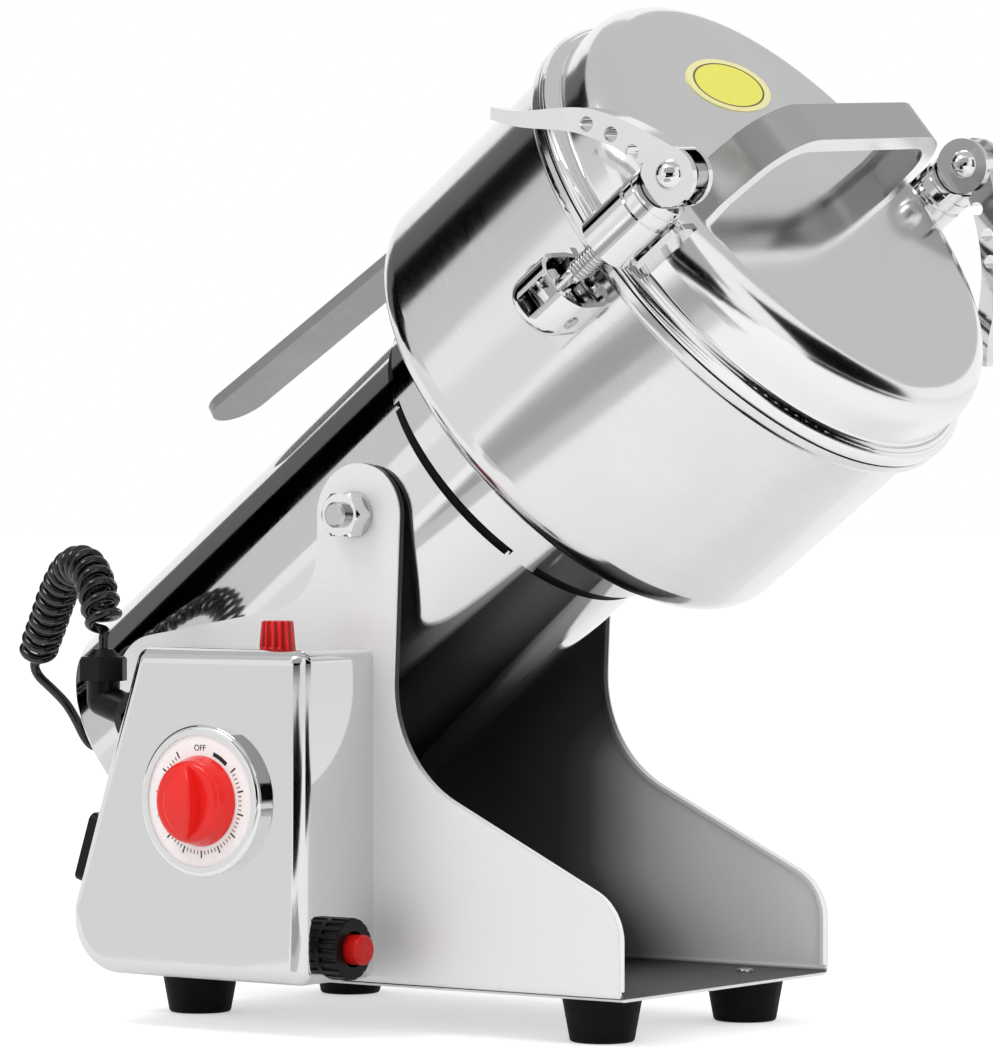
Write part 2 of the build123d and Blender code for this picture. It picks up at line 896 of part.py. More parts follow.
def pocket_axis():
    return Pos(0, -clamp_circle, pocket_z) * Rot(0, 90, 0)


def clamp_pockets():
    return clamp_pair(pocket_shape())


def pocket_pins():
    return clamp_pair(pocket_axis() * Cylinder(pocket_pin_radius, 2 * cup_radius + 2 * pocket_pin_proud))


def cam_axis():
    return Pos(0, -clamp_circle, cam_z) * Rot(90, 0, 0)


def clamp_bolt():
    barrel = pocket_axis() * Cylinder(bolt_barrel_radius, bolt_barrel_length)
    rod = Pos(0, -clamp_circle, 0) * disc(bolt_radius, pocket_z, cam_z - cam_pin_radius)
    eye = cam_axis() * Cylinder(bolt_eye_radius, bolt_eye_width)
    bolt = barrel + rod + eye
    bolt = bolt - pocket_axis() * Cylinder(pocket_pin_radius + running_gap, pocket_width)
    return bolt - cam_axis() * Cylinder(cam_pin_radius + running_gap, cam_width)


def clamp_sleeve():
    sleeve = ring(sleeve_radius, bolt_radius, sleeve_low, sleeve_high)
    middle = sleeve_high - 2 * sleeve_groove_width
    low = middle - sleeve_groove_width
    sleeve = sleeve - ring(sleeve_radius + overrun, sleeve_radius - sleeve_groove, low, middle)
    sleeve = Pos(0, -clamp_circle, 0) * sleeve
    return sleeve - ear_slope(part_gap)


def clamp_saddle():
    high = cam_z - cam_reach + saddle_rim
    saddle = Pos(0, -clamp_circle, 0) * ring(saddle_radius, bolt_radius, sleeve_high, high)
    return saddle - cam_axis() * Cylinder(cam_reach + part_gap, 4 * saddle_radius)


def ear_slope(gap):
    size = sleeve_radius * 2
    corner = lid_radius + lid_ear_rise + gap / cos(pi / 4)
    peak = lid_ear_low + lid_ear_reach
    face = make_face(Polyline(
        (-corner - size, peak - size), (-corner, peak), (0, peak), (0, peak - size), close=True))
    return extrude(Plane.YZ * face, clamp_circle / 2, both=True)


def lid_ears():
    reach = lid_radius + lid_ear_rise + lid_ear_reach
    ear = Pos(0, -reach / 2, lid_ear_low) * Box(lid_ear_width, reach, lid_ear_reach, align=on_base)
    ear = ear & ear_slope(0)
    side = lid_ear_width / 2
    cheek_x = sleeve_radius + overrun
    cheek_y = lid_radius + cheek_reach
    cheek = Pos(cheek_x + cheek_sheet / 2, -cheek_y / 2, lid_ear_low) * Box(
        cheek_sheet, cheek_y, cheek_high - lid_ear_low, align=on_base)
    outer = cheek.edges().filter_by(Axis.X).group_by(Axis.Y)[0]
    cheek = fillet(outer, cheek_reach / 3)
    bridge = Pos((side + cheek_x) / 2, -reach / 2, lid_ear_low) * Box(
        cheek_x - side + overrun, reach, lid_ear_rise + overrun, align=on_base)
    clear = disc(sleeve_radius + part_gap, lid_ear_low - overrun, cheek_high)
    bridge = bridge - Pos(0, -clamp_circle, 0) * clear
    ear = ear + cheek + bridge - disc(lid_radius, lid_ear_low - overrun, cheek_high + overrun)
    return clamp_pair(ear)


# Lever outline along its length, as shares of that length from the cam centre
upper_shares = ((-0.075, 0.09), (-0.27, 0.0), (-0.51, -0.157), (-0.71, -0.415), (-0.83, -0.535))
lower_shares = ((-0.79, -0.57), (-0.62, -0.43), (-0.47, -0.275), (-0.34, -0.185), (-0.14, -0.095))
hole_shares = ((-0.205, -0.092), (-0.335, -0.127), (-0.45, -0.195))


def lever_point(share):
    return (share[0] * lever_length, share[1] * lever_length)


def clamp_lever():
    upper = Spline([lever_point(s) for s in upper_shares])
    lower = Spline([lever_point(s) for s in lower_shares])
    tip = Line(upper @ 1, lower @ 0)
    root = Line(lower @ 1, upper @ 0)
    face = make_face(upper.edges() + tip.edges() + lower.edges() + root.edges())
    arm = extrude(face, lever_width / 2, both=True)
    for share in hole_shares:
        x, z = lever_point(share)
        arm = arm - Pos(x, z, 0) * Cylinder(lever_hole_radius, 2 * lever_width)
    cam = Pos(0, -cam_throw, 0) * Cylinder(cam_radius, cam_width)
    lever = arm + cam
    fork_depth = bolt_eye_radius + 2 * part_gap
    fork = Box(2 * cam_reach, 4 * cam_reach, 2 * bolt_radius + 2 * part_gap)
    lever = lever - Rot(0, 0, fork_turn) * Pos(cam_reach - fork_depth, 0, 0) * fork
    lever = lever - Cylinder(cam_pin_radius, cam_width + overrun)
    return cam_axis() * lever


def cam_pin():
    pin = Cylinder(cam_pin_radius, cam_width)
    low = cam_width / 2
    high = low + cam_rivet_height
    ball = (cam_rivet_radius ** 2 / cam_rivet_height + cam_rivet_height) / 2
    dome = Pos(0, 0, high - ball) * Sphere(ball) & disc(cam_rivet_radius, low, high)
    for side in (0, 180):
        pin = pin + Rot(0, side, 0) * dome
    return cam_axis() * pin


# Lid
def lid():
    inner = plug_radius - lid_wall
    shell = turned(
        [(0, lid_top), (lid_radius, lid_top), (lid_radius, lid_bead_top), (bead_radius, lid_bead_top),
         (bead_radius, lid_low), (plug_radius, lid_low), (plug_radius, plug_low), (inner, plug_low),
         (inner, lid_top - lid_wall), (0, lid_top - lid_wall)],
        [0, lid_shoulder, lid_flare, bead_proud - lid_flare / 2, 0, 0, 0, 0, lid_shoulder - lid_wall, 0],
    )
    return swing * shell


def lid_gasket():
    return swing * ring(bead_radius - lid_flare / 2, plug_radius, bead_top + part_gap, lid_low)


def lid_label():
    oval = extrude(Ellipse(label_width / 2, label_length / 2), label_thick)
    return bowl_frame * Pos(label_x, label_y, lid_top) * oval


def strap_band(depth):
    drop = 2 * strap_depth
    flare = drop * (strap_foot - strap_top) / strap_height
    low = lid_top - drop
    high = lid_top + strap_height
    outline = make_face(FilletPolyline(
        (-strap_foot - flare, low), (-strap_top, high), (strap_top, high), (strap_foot + flare, low),
        radius=[0, strap_bend, strap_bend, 0], close=True))
    band = outline - offset(outline, -depth)
    keep = Pos(0, lid_top + strap_height) * Rectangle(4 * strap_foot, 2 * strap_height)
    return Plane.YZ * (band & keep)


def lid_handle():
    skin = extrude(strap_band(strap_sheet), strap_width / 2, both=True)
    flange = extrude(strap_band(strap_depth), strap_sheet)
    left = Pos(-strap_width / 2, 0, 0) * flange
    right = Pos(strap_width / 2 - strap_sheet, 0, 0) * flange
    return bowl_frame * Pos(strap_x, 0, 0) * (skin + left + right)


# Motor
def bracket(plate_low, bearing_low):
    boss_low = min(plate_low, bearing_low)
    boss_high = max(plate_low + bracket_thick, bearing_low + bearing_width)
    plate = disc(barrel_bore, plate_low, plate_low + bracket_thick)
    window = ring_sector(window_outer, window_inner, window_angle, bracket_thick + 2 * overrun)
    for k in range(bracket_windows):
        plate = plate - Rot(0, 0, 360 * k / bracket_windows) * Pos(0, 0, plate_low - overrun) * window
    plate = plate + disc(bracket_boss, boss_low, boss_high)
    plate = plate - disc(bearing_radius, bearing_low, bearing_low + bearing_width)
    return plate - disc(shaft_radius + part_gap, boss_low - overrun, boss_high + overrun)


def rear_bracket():
    plate = bracket(rear_bearing_z, rear_bearing_z)
    for post in cap_posts():
        plate = plate + post
    return swing * plate


def front_bracket():
    return swing * bracket(front_bearing_z + bearing_width, front_bearing_z)


def bearings():
    lows = (rear_bearing_z, front_bearing_z)
    return [swing * ring(bearing_radius, shaft_radius + running_gap, z, z + bearing_width) for z in lows]


def stator():
    core = ring(stator_radius, stator_bore, stator_low, stator_high)
    slot = Pos(stator_bore, 0, stator_low - overrun) * Box(
        2 * stator_slot_depth, stator_slot_width, stator_high - stator_low + 2 * overrun, align=on_base)
    for cut in around(stator_slots, Rot(0, 0, 180 / stator_slots) * slot):
        core = core - cut
    rib = Pos((stator_radius + barrel_bore) / 2, 0, stator_low) * Box(
        barrel_bore - stator_radius + overrun, stator_slot_width, stator_high - stator_low, align=on_base)
    for piece in around(4, rib):
        core = core + piece
    return swing * (core & disc(barrel_bore, stator_low, stator_high))


def brush_holders():
    inner = commutator_radius + overrun
    outer = stator_bore + brush_length
    size = brush_width + 2 * holder_wall
    case = Pos((inner + outer) / 2, 0, stator_high) * Box(
        outer - inner, size, brush_z + size / 2 - stator_high, align=on_base)
    case = case - Pos(0, 0, brush_z - brush_width / 2) * Box(
        2 * (commutator_radius + brush_length + overrun), brush_width, brush_width, align=on_base)
    return [swing * case, swing * half_turn * case]


def carbon_brushes():
    low = commutator_radius + part_gap
    brush = Pos(low + brush_length / 2, 0, brush_z - brush_width / 2) * Box(
        brush_length - part_gap, brush_width, brush_width, align=on_base)
    brush = brush - disc(commutator_radius + part_gap, commutator_low, commutator_high)
    return [swing * brush, swing * half_turn * brush]


def motor_shaft():
    shaft = disc(shaft_radius, shaft_low, shaft_high)
    shaft = chamfer(shaft.edges().group_by(Axis.Z)[-1], running_gap + shaft_radius / 6)
    return swing * shaft


def armature():
    core = ring(armature_radius, shaft_radius, stator_low, stator_high)
    slot = Pos(armature_radius, 0, stator_low - overrun) * Box(
        2 * armature_slot_depth, armature_slot_width, stator_high - stator_low + 2 * overrun, align=on_base)
    for cut in around(armature_slots, slot):
        core = core - cut
    return swing * core


def commutator():
    return swing * ring(commutator_radius, shaft_radius, commutator_low, commutator_high)


def cooling_fan():
    hub = ring(fan_hub, shaft_radius, fan_low, fan_low + fan_height)
    fan = hub + ring(fan_radius, shaft_radius, fan_low, fan_low + fan_plate)
    span = fan_radius - fan_hub
    blade = Pos(fan_hub - overrun + span / 2, 0, fan_low) * Box(span, fan_sheet, fan_height, align=on_base)
    for piece in around(fan_blades, blade):
        fan = fan + piece
    return swing * fan


# Cutters
def cutter(span, level):
    half = span / 2
    root = cutter_width / 2
    tip = cutter_tip / 2
    wing = Polyline((0, -root), (half, tip - cutter_tip), (half - root, root), (0, root), close=True)
    face = make_face(wing) + Rot(0, 0, 180) * make_face(wing)
    blade = extrude(face, cutter_thick) - disc(shaft_radius, -overrun, cutter_thick + overrun)
    return Pos(0, 0, level) * blade


def cutters():
    blades = []
    for k, level in enumerate(cutter_levels):
        span = 2 * (bowl_bore - cutter_gap - cutter_step * k)
        blades.append(swing * Rot(0, 0, cutter_start + cutter_angle * k) * cutter(span, level))
    return blades


def cutter_spacers():
    lows = [bowl_low + bowl_wall + seal_lip + part_gap]
    lows = lows + [level + cutter_thick for level in cutter_levels[:-1]]
    rows = zip(lows, cutter_levels)
    return [swing * ring(spacer_radius, shaft_radius, low, level) for low, level in rows]


def cutter_nut():
    low = cutter_levels[-1] + cutter_thick
    high = low + cutter_nut_height
    nut = chamfered_hexagon(cutter_nut_across, low, high)
    return swing * (nut - disc(shaft_radius, low - overrun, high + overrun))


# Curly cord: a helix about a smooth route, drawn as pairs of tangent arcs
def route_corners():
    stub = 2 * wire_radius
    start = gland_exit()
    rise = [start + Vector(0, 0, stub * k) for k in range(3)]
    mouth = cap_plate - grommet_height()
    entry = [swing * Pos(grommet_x, grommet_y, mouth - stub * k * 3 / 4) for k in (2, 1, 0)]
    return rise + [Vector(point) for point in cord_route] + [place.position for place in entry]


def smooth_route(corners, steps):
    points = []
    for k in range(1, len(corners) - 1):
        first = corners[0] if k == 1 else (corners[k - 1] + corners[k]) / 2
        last = corners[-1] if k == len(corners) - 2 else (corners[k] + corners[k + 1]) / 2
        for step in range(steps):
            v = step / steps
            points.append(first * (1 - v) ** 2 + corners[k] * (2 * v * (1 - v)) + last * v ** 2)
    return points + [corners[-1]]


class Route:
    # The route by its length, with a frame that is carried along it without twist
    def __init__(self, points):
        self.points = points
        self.lengths = [0]
        for a, b in zip(points, points[1:]):
            self.lengths.append(self.lengths[-1] + (b - a).length)
        self.sides = []
        side = Vector(0, 1, 0)
        for a, b in zip(points, points[1:]):
            along = (b - a).normalized()
            side = (side - along * side.dot(along)).normalized()
            self.sides.append((side, along.cross(side)))

    def at(self, length):
        k = 0
        while k < len(self.points) - 2 and self.lengths[k + 1] < length:
            k += 1
        share = (length - self.lengths[k]) / (self.lengths[k + 1] - self.lengths[k])
        return self.points[k] + (self.points[k + 1] - self.points[k]) * share, self.sides[k]


def ease(share):
    return share * share * (3 - 2 * share)


def eased_area(share):
    return share ** 3 - share ** 4 / 2


def within(share):
    return min(max(share, 0), 1)


def biarc(start, start_way, end, end_way):
    chord = end - start
    both = start_way + end_way
    a = 2 * (1 - start_way.dot(end_way))
    b = chord.dot(both)
    reach = (sqrt(b * b + a * chord.dot(chord)) - b) / a if a > straight_share else chord.length / 2
    near = start + start_way * reach
    far = end - end_way * reach
    middle = (near + far) / 2
    return [TangentArc(start, middle, tangent=start_way), TangentArc(middle, end, tangent=far - near)]


def coil_point(route, length, start, end):
    into = within((length - start) / coil_ramp)
    left = within((end - length) / coil_ramp)
    slow = into - eased_area(into) + 1 / 2 - left + eased_area(left)
    wound = length - start - coil_ramp * slow
    turn = tau * coil_turns * wound / (end - start - coil_ramp)
    swell = coil_radius * ease(into) * ease(left)
    place, (side, other) = route.at(length)
    return place + (side * cos(turn) + other * sin(turn)) * swell


def least_gap(points):
    lengths = [0]
    for a, b in zip(points, points[1:]):
        lengths.append(lengths[-1] + (b - a).length)
    gaps = []
    for k, point in enumerate(points):
        rows = zip(points[k:], lengths[k:])
        gaps += [(other - point).length for other, length in rows if length - lengths[k] > pi * coil_radius]
    return min(gaps) - 2 * wire_radius


def curly_cord():
    route = Route(smooth_route(route_corners(), route_steps))
    stub = 2 * wire_radius
    total = route.lengths[-1]
    coil_end = total - tail_length
    quarters = 4 * (coil_turns + 1)
    stops = [stub + (coil_end - stub) * k / quarters for k in range(quarters + 1)]
    stops += [coil_end + (tail_length - stub) * k / tail_arcs for k in range(1, tail_arcs + 1)]

    def point(length):
        return coil_point(route, length, stub, coil_end)

    def way(length):
        return (point(length + running_gap) - point(length - running_gap)).normalized()

    line = [Line(route.points[0], point(stub))]
    for low, high in zip(stops, stops[1:]):
        line += biarc(point(low), way(low), point(high), way(high))
    line.append(Line(point(stops[-1]), route.points[-1]))
    count = route_steps * len(stops) // 4
    fine = [point(total * k / count) for k in range(count + 1)]
    print("cord length", round(sum(edge.length for edge in line), 1), "along a route of", round(total, 1))
    print("cord least gap to itself", round(least_gap(fine), 2))
    print("cord tightest arc", round(min(edge.radius for edge in line[1:-1]), 2))
    section = Plane(origin=route.points[0], z_dir=line[0] % 0) * Circle(wire_radius)
    return sweep(section, path=Wire([edge.edge() for edge in line]))


def write(name, shape):
    if isinstance(shape, list):
        shape = Compound(children=list(shape))
    export_step(shape, f"parts/{name}.step")


def main():
    os.makedirs("parts", exist_ok=True)
    pieces = {
        "base_frame": base_frame(),
        "rubber_feet": rubber_feet(),
        "foot_screws": foot_screws(),
        "pivot_bushes": pivot_bushes(),
        "control_box": control_box(),
        "box_screws": box_screws(),
        "timer_body": timer_body(),
        "dial_plate": dial_plate(),
        "dial_bezel": dial_bezel(),
        "timer_knob": timer_knob(),
        "timer_shaft": timer_shaft(),
        "indicator_lamp": indicator_lamp(),
        "breaker_ring": breaker_ring(),
        "breaker_body": breaker_body(),
        "reset_button": reset_button(),
        "power_inlet": power_inlet(),
        "inlet_pins": inlet_pins(),
        "cable_gland": cable_gland(),
        "cord_grommet": cord_grommet(),
        "curly_cord": curly_cord(),
        "motor_barrel": motor_barrel(),
        "barrel_end_cap": barrel_end_cap(),
        "end_cap_screws": end_cap_screws(),
        "pivot_blocks": pivot_blocks(),
        "pivot_studs": pivot_studs(),
        "pivot_washers": pivot_washers(),
        "pivot_nuts": pivot_nuts(),
        "vent_collar": vent_collar(),
        "collar_screws": collar_screws(),
        "bowl": bowl(),
        "shaft_seal": shaft_seal(),
        "pour_handle": pour_handle(),
        "clamp_pockets": clamp_pockets(),
        "pocket_pins": pocket_pins(),
        "lid": lid(),
        "lid_gasket": lid_gasket(),
        "lid_label": lid_label(),
        "lid_handle": lid_handle(),
        "lid_ears": lid_ears(),
        "rear_bracket": rear_bracket(),
        "front_bracket": front_bracket(),
        "bearings": bearings(),
        "stator": stator(),
        "brush_holders": brush_holders(),
        "carbon_brushes": carbon_brushes(),
        "motor_shaft": motor_shaft(),
        "armature": armature(),
        "commutator": commutator(),
        "cooling_fan": cooling_fan(),
        "cutters": cutters(),
        "cutter_spacers": cutter_spacers(),
        "cutter_nut": cutter_nut(),
    }
    for side, place in (("near", bowl_frame), ("far", bowl_frame * half_turn)):
        pieces[f"{side}_bolt"] = place * clamp_bolt()
        pieces[f"{side}_sleeve"] = place * (clamp_sleeve() + clamp_saddle())
        pieces[f"{side}_lever"] = place * clamp_lever()
        pieces[f"{side}_cam_pin"] = place * cam_pin()
    for name, shape in pieces.items():
        write(name, shape)


main()
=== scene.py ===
import bpy
import bmesh
import json
import math
from mathutils import Matrix, Vector


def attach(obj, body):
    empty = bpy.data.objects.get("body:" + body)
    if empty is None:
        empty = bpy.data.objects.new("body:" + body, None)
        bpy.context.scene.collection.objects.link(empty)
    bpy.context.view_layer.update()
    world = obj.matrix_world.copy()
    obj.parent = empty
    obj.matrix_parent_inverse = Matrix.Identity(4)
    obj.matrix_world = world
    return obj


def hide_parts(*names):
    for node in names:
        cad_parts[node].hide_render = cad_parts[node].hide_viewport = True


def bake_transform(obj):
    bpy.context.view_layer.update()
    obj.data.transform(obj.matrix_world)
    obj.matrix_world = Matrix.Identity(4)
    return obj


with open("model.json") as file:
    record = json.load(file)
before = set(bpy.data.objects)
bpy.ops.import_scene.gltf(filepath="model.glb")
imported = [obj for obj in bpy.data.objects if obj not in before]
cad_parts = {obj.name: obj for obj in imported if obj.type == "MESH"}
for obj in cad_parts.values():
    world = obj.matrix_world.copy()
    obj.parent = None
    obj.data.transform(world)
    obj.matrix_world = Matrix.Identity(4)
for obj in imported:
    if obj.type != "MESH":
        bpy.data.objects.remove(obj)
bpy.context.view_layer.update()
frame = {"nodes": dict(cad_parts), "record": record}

mm = 0.001
nodes = frame["nodes"]
scene = bpy.context.scene
scene.view_settings.view_transform = "Standard"

# places that more than one piece uses
tilt = math.radians(52.8)  # of the swing unit, from upright
bowlTurn = math.radians(5.3)  # of bowl and lid about the unit's axis
pivotSpot = (-2.5 * mm, 0, 200 * mm)
swingFrame = Matrix.Translation(pivotSpot) @ Matrix.Rotation(tilt, 4, "Y")
bowlFrame = swingFrame @ Matrix.Rotation(bowlTurn, 4, "Z")
print("frame loaded,", len(nodes), "nodes")


# camera
cameraSetup = {"turn": 35.95, "rise": 0.17, "distance": 2.0239, "lens": 174.03, "reach": 50,
               "sideways": 12.53 * mm, "lift": -3.76 * mm}


def placeCamera(setup):
    turn, rise = math.radians(setup["turn"]), math.radians(setup["rise"])
    right = Vector((math.cos(turn), math.sin(turn), 0))
    back = Vector((math.sin(turn) * math.cos(rise), -math.cos(turn) * math.cos(rise), math.sin(rise)))
    up = back.cross(right)
    spot = Vector(pivotSpot) + right * setup["sideways"] + up * setup["lift"] + back * setup["distance"]
    data = bpy.data.cameras.new("camera")
    data.lens = setup["lens"]  # 36 mm on the longer side of the picture
    data.clip_end = setup["reach"]
    cam = bpy.data.objects.new("camera", data)
    turned = Matrix((right, up, back)).transposed().to_4x4()
    cam.matrix_world = Matrix.Translation(spot) @ turned
    scene.collection.objects.link(cam)
    scene.camera = cam


placeCamera(cameraSetup)
print("camera placed")


# small helpers for meshes
def link(obj):
    scene.collection.objects.link(obj)
    return obj


def meshObject(name, verts, faces, smooth=True):
    mesh = bpy.data.meshes.new(name)
    mesh.from_pydata([tuple(v) for v in verts], [], faces)
    mesh.validate()
    mesh.polygons.foreach_set("use_smooth", [smooth] * len(mesh.polygons))
    return link(bpy.data.objects.new(name, mesh))


def fixNormals(mesh):
    work = bmesh.new()
    work.from_mesh(mesh)
    bmesh.ops.remove_doubles(work, verts=work.verts, dist=1e-7)
    bmesh.ops.recalc_face_normals(work, faces=work.faces)
    work.to_mesh(mesh)
    work.free()


def plainMesh(holder):
    # what the holder evaluates to, as a mesh of its own
    seen = holder.evaluated_get(bpy.context.evaluated_depsgraph_get())
    mesh = bpy.data.meshes.new_from_object(seen)
    bpy.data.objects.remove(holder)
    return mesh


# small helpers for node trees
socketKinds = {"number": "NodeSocketFloat", "count": "NodeSocketInt", "vector": "NodeSocketVector",
               "color": "NodeSocketColor", "material": "NodeSocketMaterial", "geometry": "NodeSocketGeometry"}


def addNode(tree, kind, **values):
    node = tree.nodes.new(kind)
    for key, value in values.items():
        if key in node.bl_rna.properties:
            setattr(node, key, value)
        else:
            node.inputs[key.replace("_", " ")].default_value = value
    return node


def mathNode(tree, operation, second=None):
    node = addNode(tree, "ShaderNodeMath", operation=operation)
    if second is not None:
        node.inputs[1].default_value = second
    return node


def rangeNode(tree, source=(0, 1), target=(0, 1), smooth=False):
    node = addNode(tree, "ShaderNodeMapRange", interpolation_type="SMOOTHSTEP" if smooth else "LINEAR")
    node.inputs["From Min"].default_value, node.inputs["From Max"].default_value = source
    node.inputs["To Min"].default_value, node.inputs["To Max"].default_value = target
    return node


def newTree(kind, name, inputs, outputs):
    tree = bpy.data.node_groups.new(name, kind)
    for label, socketKind, value in inputs:
        socket = tree.interface.new_socket(name=label, in_out="INPUT", socket_type=socketKinds[socketKind])
        if value is not None:
            socket.default_value = value
    for label, socketKind in outputs:
        tree.interface.new_socket(name=label, in_out="OUTPUT", socket_type=socketKinds[socketKind])
    return tree, addNode(tree, "NodeGroupInput"), addNode(tree, "NodeGroupOutput")


def emptyMaterial(name):
    material = bpy.data.materials.new(name)
    material.use_nodes = True
    material.node_tree.nodes.clear()
    return material, material.node_tree


def newMaterial(name, color, roughness, metallic=0.0, **more):
    material, tree = emptyMaterial(name)
    material.diffuse_color = (*color, 1)
    shader = addNode(tree, "ShaderNodeBsdfPrincipled")
    out = addNode(tree, "ShaderNodeOutputMaterial")
    tree.links.new(shader.outputs["BSDF"], out.inputs["Surface"])
    shader.inputs["Base Color"].default_value = (*color, 1)
    shader.inputs["Roughness"].default_value = roughness
    shader.inputs["Metallic"].default_value = metallic
    for key, value in more.items():
        shader.inputs[key.replace("_", " ")].default_value = value
    return material, tree, shader


def objectCoords(tree, turn=(0, 0, 0), move=(0, 0, 0), scale=(1, 1, 1)):
    coords = addNode(tree, "ShaderNodeTexCoord")
    mapping = addNode(tree, "ShaderNodeMapping", vector_type="TEXTURE")
    mapping.inputs["Location"].default_value = move
    mapping.inputs["Rotation"].default_value = turn
    mapping.inputs["Scale"].default_value = scale
    tree.links.new(coords.outputs["Object"], mapping.inputs["Vector"])
    return mapping.outputs["Vector"]


def grey(tone):
    return (tone, tone, tone)


# shader groups that several finishes share
polishSetup = {"lineShare": 0.45, "sharpen": (0.42, 0.78)}
grainSetup = {"grain": 1600.0, "tone": 60.0, "toneRange": (0.3, 0.7)}
surfaceOutputs = [("Color", "color"), ("Roughness", "number"), ("Height", "number")]


def makePolishMarks(setup):
    # buffing lines along one way, and soft hand smudges
    group, gin, gout = newTree("ShaderNodeTree", "polishMarks", [
        ("Vector", "vector", None), ("Line Scale", "number", 900.0), ("Stretch", "vector", (1.0, 0.01, 1.0)),
        ("Smudge Scale", "number", 18.0), ("Low", "number", 0.05), ("High", "number", 0.14),
        ("Color A", "color", (*grey(0.8), 1)), ("Color B", "color", (*grey(0.7), 1))], surfaceOutputs)
    stretch = addNode(group, "ShaderNodeVectorMath", operation="MULTIPLY")
    lines = addNode(group, "ShaderNodeTexNoise", Detail=3.0, Roughness=0.65)
    smudge = addNode(group, "ShaderNodeTexNoise", Detail=4.0, Roughness=0.55)
    mix = mathNode(group, "MULTIPLY_ADD", setup["lineShare"])
    sharpen = rangeNode(group, setup["sharpen"], smooth=True)
    rough = rangeNode(group)
    tint = addNode(group, "ShaderNodeMix", data_type="RGBA")
    go = group.links.new
    go(gin.outputs["Vector"], stretch.inputs[0])
    go(gin.outputs["Stretch"], stretch.inputs[1])
    go(stretch.outputs[0], lines.inputs["Vector"])
    go(gin.outputs["Line Scale"], lines.inputs["Scale"])
    go(gin.outputs["Vector"], smudge.inputs["Vector"])
    go(gin.outputs["Smudge Scale"], smudge.inputs["Scale"])
    go(lines.outputs["Fac"], mix.inputs[0])
    go(smudge.outputs["Fac"], mix.inputs[2])
    go(mix.outputs[0], sharpen.inputs["Value"])
    go(sharpen.outputs["Result"], rough.inputs["Value"])
    go(gin.outputs["Low"], rough.inputs["To Min"])
    go(gin.outputs["High"], rough.inputs["To Max"])
    go(sharpen.outputs["Result"], tint.inputs["Factor"])
    go(gin.outputs["Color A"], tint.inputs["A"])
    go(gin.outputs["Color B"], tint.inputs["B"])
    go(tint.outputs["Result"], gout.inputs["Color"])
    go(rough.outputs["Result"], gout.inputs["Roughness"])
    go(lines.outputs["Fac"], gout.inputs["Height"])
    return group


def makeMouldGrain(setup):
    # fine moulded skin with a slow change of tone, for rubber, plastic and carbon
    group, gin, gout = newTree("ShaderNodeTree", "mouldGrain", [
        ("Vector", "vector", None), ("Grain Scale", "number", setup["grain"]),
        ("Tone Scale", "number", setup["tone"]), ("Low", "number", 0.4), ("High", "number", 0.55),
        ("Color A", "color", (*grey(0.02), 1)), ("Color B", "color", (*grey(0.03), 1))], surfaceOutputs)
    grain = addNode(group, "ShaderNodeTexNoise", Detail=2.0, Roughness=0.5)
    tone = addNode(group, "ShaderNodeTexNoise", Detail=3.0, Roughness=0.6)
    rough = rangeNode(group, setup["toneRange"])
    tint = addNode(group, "ShaderNodeMix", data_type="RGBA")
    go = group.links.new
    for node, scaleName in ((grain, "Grain Scale"), (tone, "Tone Scale")):
        go(gin.outputs["Vector"], node.inputs["Vector"])
        go(gin.outputs[scaleName], node.inputs["Scale"])
    go(tone.outputs["Fac"], rough.inputs["Value"])
    go(gin.outputs["Low"], rough.inputs["To Min"])
    go(gin.outputs["High"], rough.inputs["To Max"])
    go(tone.outputs["Fac"], tint.inputs["Factor"])
    go(gin.outputs["Color A"], tint.inputs["A"])
    go(gin.outputs["Color B"], tint.inputs["B"])
    go(tint.outputs["Result"], gout.inputs["Color"])
    go(rough.outputs["Result"], gout.inputs["Roughness"])
    go(grain.outputs["Fac"], gout.inputs["Height"])
    return group


polishMarks = makePolishMarks(polishSetup)
mouldGrain = makeMouldGrain(grainSetup)


def placeGroup(tree, shader, group, vector, values, bump=None):
    node = addNode(tree, "ShaderNodeGroup")
    node.node_tree = group
    for key, value in values.items():
        node.inputs[key].default_value = value
    go = tree.links.new
    go(vector, node.inputs["Vector"])
    go(node.outputs["Color"], shader.inputs["Base Color"])
    go(node.outputs["Roughness"], shader.inputs["Roughness"])
    if bump:
        relief = addNode(tree, "ShaderNodeBump", Strength=bump[0], Distance=bump[1])
        go(node.outputs["Height"], relief.inputs["Height"])
        go(relief.outputs["Normal"], shader.inputs["Normal"])
    return node


# ways that the lines of a finish run, drawn out where the number is small
spunLines = (0.02, 0.02, 1)
lengthLines = (0.02, 1, 1)
crossLines = (1, 0.02, 1)
uprightLines = (1, 1, 0.02)
turnedLines = (1, 0.1, 1)
evenGrain = (1, 1, 1)


def polishValues(color, rough, stretch, lines, smudge, fade):
    return {"Line Scale": lines, "Stretch": stretch, "Smudge Scale": smudge, "Low": rough[0],
            "High": rough[1], "Color A": (*color, 1), "Color B": (*[c * fade for c in color], 1)}


def metal(name, color, rough, stretch, lines=900, smudge=60, fade=0.9, bump=None, onSwing=False):
    material, tree, shader = newMaterial(name, color, rough[0], 1.0)
    coords = objectCoords(tree, (0, tilt, 0), pivotSpot) if onSwing else objectCoords(tree)
    values = polishValues(color, rough, stretch, lines, smudge, fade)
    placeGroup(tree, shader, polishMarks, coords, values, bump)
    return material


def moulded(name, color, rough, lift=1.35, bump=(0.1, 0.2 * mm), **more):
    material, tree, shader = newMaterial(name, color, rough[0], **more)
    values = {"Low": rough[0], "High": rough[1], "Color A": (*[c / lift for c in color], 1),
              "Color B": (*[min(c * lift, 1) for c in color], 1)}
    placeGroup(tree, shader, mouldGrain, objectCoords(tree), values, bump)
    return material


